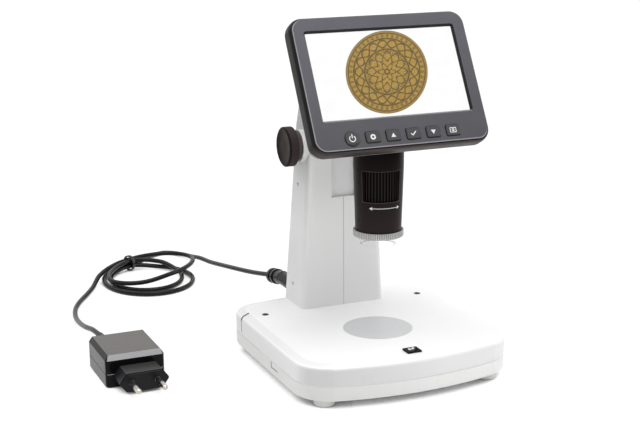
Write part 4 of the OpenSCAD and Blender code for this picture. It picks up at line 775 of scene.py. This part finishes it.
# Solids that are made of flat faces, with the width of the rounding on their sharp edges in millimetres
SOFTENED = {
    "base_cover": 0.25, "base_tray": 0.2, "column_left": 0.2, "column_right": 0.2, "display_bezel": 0.3,
    "display_back": 0.15, "adapter_cover": 0.5, "adapter_base": 0.3, "mains_plug": 0.35, "focus_carriage": 0.3,
    "menu_button": 0.25, "up_button": 0.25, "ok_button": 0.25, "down_button": 0.25, "camera_button": 0.25,
    "power_button": 0.25, "light_switch_frame": 0.25, "light_switch_rocker": 0.15, "stage_plate": 0.15,
    "head_lid": 0.5, "head_housing": 0.4, "barrel": 0.25, "cord_tie": 0.4, "base_feet": 0.4, "battery": 0.8,
    "power_plug": 0.0, "adapter_boot": 0.0, "clear_cap": 0.0,
}  # fmt: skip

# Solids whose rounded edges are painted paler as a highlight, and the material there
HIGHLIT_EDGES = {"display_bezel": "bezel_rim_highlight", "barrel": "edge"}


def add_rounding(solid, width):
    """Rounding of a width in millimetres on sharp edges. Its faces can take the second material."""
    rounding = solid.modifiers.new("rounding", "BEVEL")
    rounding.width = width * MM
    rounding.segments = 2
    rounding.limit_method = "ANGLE"
    rounding.angle_limit = math.radians(38)
    if len(solid.data.materials) > 1:
        rounding.material = 1


def dress_solids(materials):
    """Give the solids their materials, and smooth shading and rounded edges to those that lack them."""
    for finish, names in FINISH.items():
        for name in names.split():
            data = NODES[name].data
            data.materials.clear()
            data.materials.append(materials[finish])
    for name, finish in HIGHLIT_EDGES.items():
        NODES[name].data.materials.append(materials[finish])
    group, crisp = smoothing_nodes(math.radians(34)), smoothing_nodes(math.radians(15))
    for name, width in SOFTENED.items():
        solid = NODES[name]
        solid.modifiers.new("smooth", "NODES").node_group = crisp if name == "light_switch_rocker" else group
        if width:
            add_rounding(solid, width)
        solid.modifiers.new("normals", "WEIGHTED_NORMAL").keep_sharp = True


# ---- new pieces


def piece(name, points, faces, material, body, smooth=True, to_frame=None):
    """A mesh piece on a body, from points in millimetres, which to_frame first carries to the frame."""
    mesh = bpy.data.meshes.new(name)
    if to_frame:
        points = [to_frame(*p) for p in points]
    mesh.from_pydata([Vector(p) * MM for p in points], [], faces)
    mesh.validate()
    mesh.materials.append(material)
    if smooth:
        mesh.shade_smooth()
    made = put_in_scene(name, mesh)
    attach(made, body)
    return made


def on_display(x, v, w):
    """From the display's own directions, along and up the screen and out of it, to the frame."""
    c, s = math.cos(RECLINE), math.sin(RECLINE)
    return (x, SCREEN_MID[1] + s * v - c * w, SCREEN_MID[2] + c * v + s * w)


def grid_faces(rows, columns, closed=False):
    """Faces of a grid of points, row by row; closed joins each row's last point to its first."""
    faces = []
    for i in range(rows - 1):
        for j in range(columns if closed else columns - 1):
            k = (j + 1) % columns
            faces.append((i * columns + j, i * columns + k, (i + 1) * columns + k, (i + 1) * columns + j))
    return faces


def along_curve(p0, p1, p2, p3, t):
    """Point between p1 and p2 on a smooth curve through all four."""
    return 0.5 * (
        2 * p1 + (p2 - p0) * t + (2 * p0 - 5 * p1 + 4 * p2 - p3) * t * t + (3 * p1 - p0 - 3 * p2 + p3) * t**3
    )


def smooth_path(points, steps):
    """Smooth curve through the points, in so many steps from each to the next."""
    p = [Vector(q) for q in points]
    n = len(p)
    made = []
    for i in range(n - 1):
        for k in range(steps):
            made.append(along_curve(p[max(i - 1, 0)], p[i], p[i + 1], p[min(i + 2, n - 1)], k / steps))
    return made + [p[-1]]


# The lead, in millimetres: from the jack behind the column, by three tied loops, to the adapter's boot
CORD_D = 4.0
JACK_X, JACK_Z = -25, 38
TIE_AT = Vector((-97, 302, 7.02))
TIE_HEADING = math.radians(205.8)
# Each loop's half length, half width, turn on the table, and heading at the tie
LOOP_SIZES = [(38, 42.5, 0, 190), (31, 36.5, 0, 190), (48, 29, 34, 211)]
LOOP_STEPS = 48
# Where each pass through the tie lies across it, and the height of the lead at every eighth of a loop
TIE_SIDES = [-2.4, 2.4, 2.4, -2.4]
LOOP_HEIGHTS = [
    4.75, 3, 2.1, 2.05, 2.05, 2.05, 2.05, 2.4,
    4.75, 2.9, 2.1, 2.05, 2.05, 2.3, 4.4, 7.6,
    9.3, 8.3, 7, 6.7, 8.9, 9, 8.4, 9, 9.3,
]  # fmt: skip
LEAD = [
    (-27, 150, 29.8), (-29.5, 175, 25.3), (-32, 212, 19.3), (-33, 236, 15.3), (-34, 260, 11.5), (-35, 286, 8.5),
    (-36.5, 306, 5), (-39, 321, 3), (-45, 333, 2.2), (-54, 338.5, 2.1), (-64, 335, 2.2), (-73, 326, 3),
    (-80, 316.5, 3.9), (-85.5, 309.2, 4.6),
]  # fmt: skip
TAIL = [
    (-111.8, 296.4, 8.6), (-122.5, 286.9, 7.6), (-131.6, 276.4, 6), (-137.5, 266.2, 4), (-142.6, 256.5, 2.5),
    (-152.3, 239.5, 2.05), (-162.6, 221.9, 2.05), (-170.3, 204.3, 2.05), (-175.2, 183.4, 2.6),
    (-177.6, 161.6, 5), (-179.1, 135.8, 9.6), (-178.6, 114, 14),
]  # fmt: skip
BOOT_END = Vector((-178, 94, 15.5))


def eased(f):
    """Share from 0 to 1 that starts and ends slowly."""
    return (1 - math.cos(math.pi * f)) / 2


def along(table, s):
    """Number at a place between the entries of a table."""
    i = min(int(s), len(table) - 2)
    f = eased(s - i)
    return table[i] * (1 - f) + table[i + 1] * f


def loop_point(s):
    """Point on the loops after s turns. One loop's size goes over to the next one's opposite the tie."""
    change = 0.4
    place = min(max(s - 0.5, 0), len(LOOP_SIZES) - 1 - 1e-4)
    i = int(place)
    f = eased(min(max((place - i - 0.5) / change + 0.5, 0), 1))
    half_l, half_w, turn, heading = (a * (1 - f) + b * f for a, b in zip(LOOP_SIZES[i], LOOP_SIZES[i + 1]))
    turn, heading = math.radians(turn), math.radians(heading - turn)
    start = math.atan2(-math.cos(heading) / half_l, math.sin(heading) / half_w)
    x = half_l * (math.cos(start + 2 * math.pi * s) - math.cos(start))
    y = half_w * (math.sin(start + 2 * math.pi * s) - math.sin(start))
    side = along(TIE_SIDES, s) * (1 + math.cos(2 * math.pi * s)) / 2
    return Vector((
        TIE_AT.x + x * math.cos(turn) - y * math.sin(turn) - side * math.sin(TIE_HEADING),
        TIE_AT.y + x * math.sin(turn) + y * math.cos(turn) + side * math.cos(TIE_HEADING),
        along(LOOP_HEIGHTS, 8 * s),
    ))  # fmt: skip


def cord_route():
    """Middle line of the whole lead, from the plug behind the column to the adapter, in millimetres."""
    turns = len(LOOP_SIZES)
    loops = [loop_point(i / LOOP_STEPS) for i in range(turns * LOOP_STEPS + 1)]
    inward = (loop_point(0.01) - loop_point(0)).normalized()
    outward = (loop_point(turns) - loop_point(turns - 0.01)).normalized()
    # The column's back leans from its foot to the shaft. The plug leaves it straight and then droops.
    foot_depth, shaft_depth, gap, straight, bent = 38.6, 30.6, 0.4, 23, 26
    lean = (shaft_depth - foot_depth) / (SHAFT_Z - BASE_TOP)
    back_y = COLUMN_Y + foot_depth + lean * (JACK_Z - BASE_TOP)
    droop = math.radians(10)
    heading = Vector((0, math.cos(droop), -math.sin(droop)))
    leave = Vector((JACK_X, back_y + gap + straight, JACK_Z)) + bent * heading
    first, last = loops[0] - CORD_D * inward, loops[-1] + CORD_D * outward
    lead = smooth_path([leave, leave + CORD_D * heading, *LEAD, first - CORD_D * inward, first], 6)
    tail = smooth_path([last, last + CORD_D * outward, *TAIL, BOOT_END + Vector((0, CORD_D, 0)), BOOT_END], 6)
    return lead + loops + tail


def make_cord(materials):
    """The whole lead as one round cord, in place of its three solids."""
    route = cord_route()
    data = bpy.data.curves.new("power_cord", "CURVE")
    data.dimensions = "3D"
    data.bevel_depth = CORD_D / 2 * MM
    data.bevel_resolution = 4
    data.use_fill_caps = True
    line = data.splines.new("POLY")
    line.points.add(len(route) - 1)
    for point, p in zip(line.points, route):
        point.co = (*(p * MM), 1)
    line.use_smooth = True
    data.materials.append(materials["cord"])
    cord = put_in_scene("power_cord", data)
    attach(cord, "stand")
    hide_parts("cord_lead", "cord_loops", "cord_tail")


def knurled_radius(turn, share):
    """Radius on the rim, at a share of its width: two sets of slanting grooves cross each other."""
    count, slant, depth = 60, 3, 0.9
    around = turn * count / (2 * math.pi)
    nearest = (0.5 - abs(((around + way * slant * share) % 1) - 0.5) for way in (1, -1))
    return KNOB_R - depth * max(nearest)


def make_knob(side, materials):
    """Knob with a diamond knurl cut into its rim."""
    steps, rows = 240, 13
    rim, outer = COLLAR_W, COLLAR_W + RIM_W
    low, high = rim + 0.7, outer - 0.8
    profile = [
        (0.0, 2.2), (0.0, COLLAR_R - 0.3), (0.3, COLLAR_R), (rim - 0.2, COLLAR_R), (rim, COLLAR_R + 0.2),
        (rim, KNOB_R - 1.1), (rim + 0.25, KNOB_R - 0.75),
        *((low + (high - low) * i / (rows - 1), None) for i in range(rows)),
        (outer - 0.35, KNOB_R - 0.8), (outer, KNOB_R - 1.4), (outer, KNOB_R - 2.3),
        (outer - 0.35, KNOB_R - 2.8), (outer - 0.4, 5.0), (outer - 0.35, 0.05),
    ]  # fmt: skip
    points = []
    for x, radius in profile:
        for k in range(steps):
            a = 2 * math.pi * k / steps
            r = radius or knurled_radius(a, (x - low) / (high - low))
            points.append((side * (KNOB_START + x), SHAFT_Y + r * math.cos(a), SHAFT_Z + r * math.sin(a)))
    faces = grid_faces(len(profile), steps, closed=True)
    faces.append(tuple(range((len(profile) - 1) * steps, len(profile) * steps)))
    if side > 0:
        faces = [f[::-1] for f in faces]
    name = "focus_knob_" + ("left" if side < 0 else "right")
    made = piece(name + "_knurled", points, faces, materials["knob"], "focus_drive")
    made.data.set_sharp_from_angle(angle=math.radians(50))
    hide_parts(name)


def make_screen(materials):
    """The panel, with its picture as its front face."""
    hidden, front, back = 2.8, -1.21, -4.21
    w, h = SCREEN_W / 2 + hidden, SCREEN_H / 2 + hidden
    points = [(x, v, depth) for depth in (front, back) for x, v in ((-w, -h), (w, -h), (w, h), (-w, h))]
    faces = [(0, 1, 2, 3), (7, 6, 5, 4), (0, 4, 5, 1), (1, 5, 6, 2), (2, 6, 7, 3), (3, 7, 4, 0)]
    made = piece("screen_panel", points, faces, materials["panel"], "display", False, on_display)
    made.data.materials.append(materials["panel_frame"])
    for face in list(made.data.polygons)[1:]:
        face.material_index = 1
    layer = made.data.uv_layers.new(name="map")
    for loop in made.data.loops:
        x, v, _ = points[loop.vertex_index]
        layer.data[loop.index].uv = (x, v)
    add_rounding(made, 0.15)
    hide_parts("lcd_panel")


def key_mark(body, shapes, x, material):
    """Printed mark on a key, from polygons of (x, y) about the key's middle."""
    thick = 0.02
    points, faces = [], []
    for shape in shapes:
        n, first = len(shape), len(points)
        for level in (KEY_TOP + thick, KEY_TOP - thick):
            points += [(x + across, KEY_Y + along_up, level) for across, along_up in shape]
        faces.append(tuple(range(first, first + n)))
        faces += [(first + i, first + n + i, first + n + (i + 1) % n, first + (i + 1) % n) for i in range(n)]
    piece(body + "_mark", points, faces, material, body, False, on_display)


def arc_strip(r_in, r_out, start, end, steps):
    """Quads of part of a ring, between angles in degrees."""
    quads = []
    for i in range(steps):
        a, b = (math.radians(start + (end - start) * k / steps) for k in (i, i + 1))
        corners = ((r_in, a), (r_out, a), (r_out, b), (r_in, b))
        quads.append([(r * math.cos(t), r * math.sin(t)) for r, t in corners])
    return quads


def bar(x0, y0, x1, y1, width=0.7):
    """Quad along a line, of a width."""
    dx, dy = x1 - x0, y1 - y0
    n = math.hypot(dx, dy)
    sx, sy = -dy / n * width / 2, dx / n * width / 2
    return [(x0 - sx, y0 - sy), (x1 - sx, y1 - sy), (x1 + sx, y1 + sy), (x0 + sx, y0 + sy)]


def make_key_marks(materials):
    """Switch sign, ring, arrows, tick and framed ring on the six keys."""
    outline = [bar(-2.3, y, 2.3, y, 0.5) for y in (-1.6, 1.6)]
    outline += [bar(x, -1.4, x, 1.4, 0.5) for x in (-2.2, 2.2)]
    marks = {
        "power_key": arc_strip(1.75, 2.4, 128, 412, 20) + [bar(0, 0.3, 0, 3.1)],
        "menu_key": arc_strip(0.85, 1.95, 0, 360, 20),
        "up_key": [[(-1.75, -1.3), (1.75, -1.3), (0, 1.7)]],
        "ok_key": [bar(-1.9, 0.1, -0.55, -1.3), bar(-0.75, -1.35, 2.0, 1.5)],
        "down_key": [[(-1.75, 1.3), (0, -1.7), (1.75, 1.3)]],
        "camera_key": outline + arc_strip(0.45, 1.0, 0, 360, 12),
    }
    for x, (body, shapes) in zip(KEY_X, marks.items()):
        key_mark(body, shapes, x, materials["print"])


def make_barrel_arrow(materials):
    """Double-headed arrow printed round the barrel under its window."""
    middle, half, thick = 123.6, 0.2, 0.02
    # Places round the barrel are in degrees from its front
    first, last, steps = -48.0, 31.0, 30
    head_steps, head_step, head_growth = 4, 1.9, 0.3
    shaft_first, shaft_last = first + 3, last - 3

    def on_barrel(turn, z, _):
        low_z, low_r, high_z, high_r = 104.5, 16.4, 151, 17.9
        r = low_r + (high_r - low_r) * min(1.0, (z - low_z) / (high_z - low_z)) + thick
        return (r * math.sin(math.radians(turn)), OPTIC_Y - r * math.cos(math.radians(turn)), z)

    strips = []
    for i in range(steps):
        a, b = (shaft_first + (shaft_last - shaft_first) * k / steps for k in (i, i + 1))
        strips.append([(a, middle - half), (b, middle - half), (b, middle + half), (a, middle + half)])
    for tip, way in ((first, 1), (last, -1)):
        for k in range(head_steps):
            (a, ha), (b, hb) = ((tip + way * n * head_step, n * head_growth) for n in (k, k + 1))
            quad = [(a, middle - ha), (b, middle - hb), (b, middle + hb), (a, middle + ha)]
            strips.append(quad[::way])
    points = [(turn, z, 0) for quad in strips for turn, z in quad]
    faces = [tuple(range(i, i + 4)) for i in range(0, len(points), 4)]
    piece("barrel_arrow", points, faces, materials["print"], "head", False, on_barrel)


def ribbon(name, path, width_dir, width, lift, material):
    """Flat dark line that lies on a face: path in millimetres, each point with the face's outward direction."""
    points = []
    side = Vector(width_dir) * width / 2
    for p, out in path:
        middle = Vector(p) + Vector(out).normalized() * lift
        points += [middle - side, middle + side]
    piece(name, points, grid_faces(len(path), 2), material, "stand")


def make_seams(materials):
    """The seam down the column's front and back, and moulded lines on the base's left side."""
    foot_z = BASE_TOP + 0.1
    back = [(foot_z, 38.6), (94.4, 34.49), (134.4, 31.9), (168.4, 29.69), (180.4, 26.84), (206, 20.43)]
    seams = {
        "column_seam_low": ([((0, COLUMN_Y, z), FRONT) for z in (foot_z, 115.3)], 0.02),
        "column_seam_back": ([((0, COLUMN_Y + depth, z), (0, 1, 0.1)) for z, depth in back], 0.03),
    }
    for name, (path, lift) in seams.items():
        ribbon(name, path, RIGHT, 0.32, lift, materials["seam"])

    # A line near the rear runs up the side and over its rounding. A smaller mark lies below the parting line.
    side_x, rear_y, round_z, rounding = -81, 49.8, 27.3, 3
    over = []
    for degrees in range(0, 91, 10):
        c, d = math.cos(math.radians(degrees)), math.sin(math.radians(degrees))
        place = (side_x + rounding * (1 - c), rear_y + 1.4 * (1 - c), round_z + rounding * d)
        over.append((place, (-c, 0, d)))
    over.append(((-73.6, 53.6, BASE_TOP - 0.02), UP))

    def on_side(*places):
        return [((side_x, y, z), LEFT) for y, z in places]

    grooves = {
        "base_line_rear": (on_side((rear_y, 18.4), (rear_y, round_z)), REAR, 0.8, "white_cover"),
        "base_line_over": (over, REAR, 1.9, "white_cover"),
        "base_mark_upright": (on_side((-10.4, 15.4), (-10.6, 11.4)), REAR, 0.9, "pale_tray"),
        "base_mark_level": (on_side((-10.6, 11.4), (-21.8, 11.4)), UP, 0.6, "pale_tray"),
    }
    for name, (path, width_dir, width, slot) in grooves.items():
        ribbon(name, path, width_dir, width, 0.06, materials["groove"])


make_camera()
make_floor()
make_light()
MATERIALS = make_materials()
make_cord(MATERIALS)
dress_solids(MATERIALS)
make_screen(MATERIALS)
for which in (-1, 1):
    make_knob(which, MATERIALS)
make_key_marks(MATERIALS)
make_barrel_arrow(MATERIALS)
make_seams(MATERIALS)
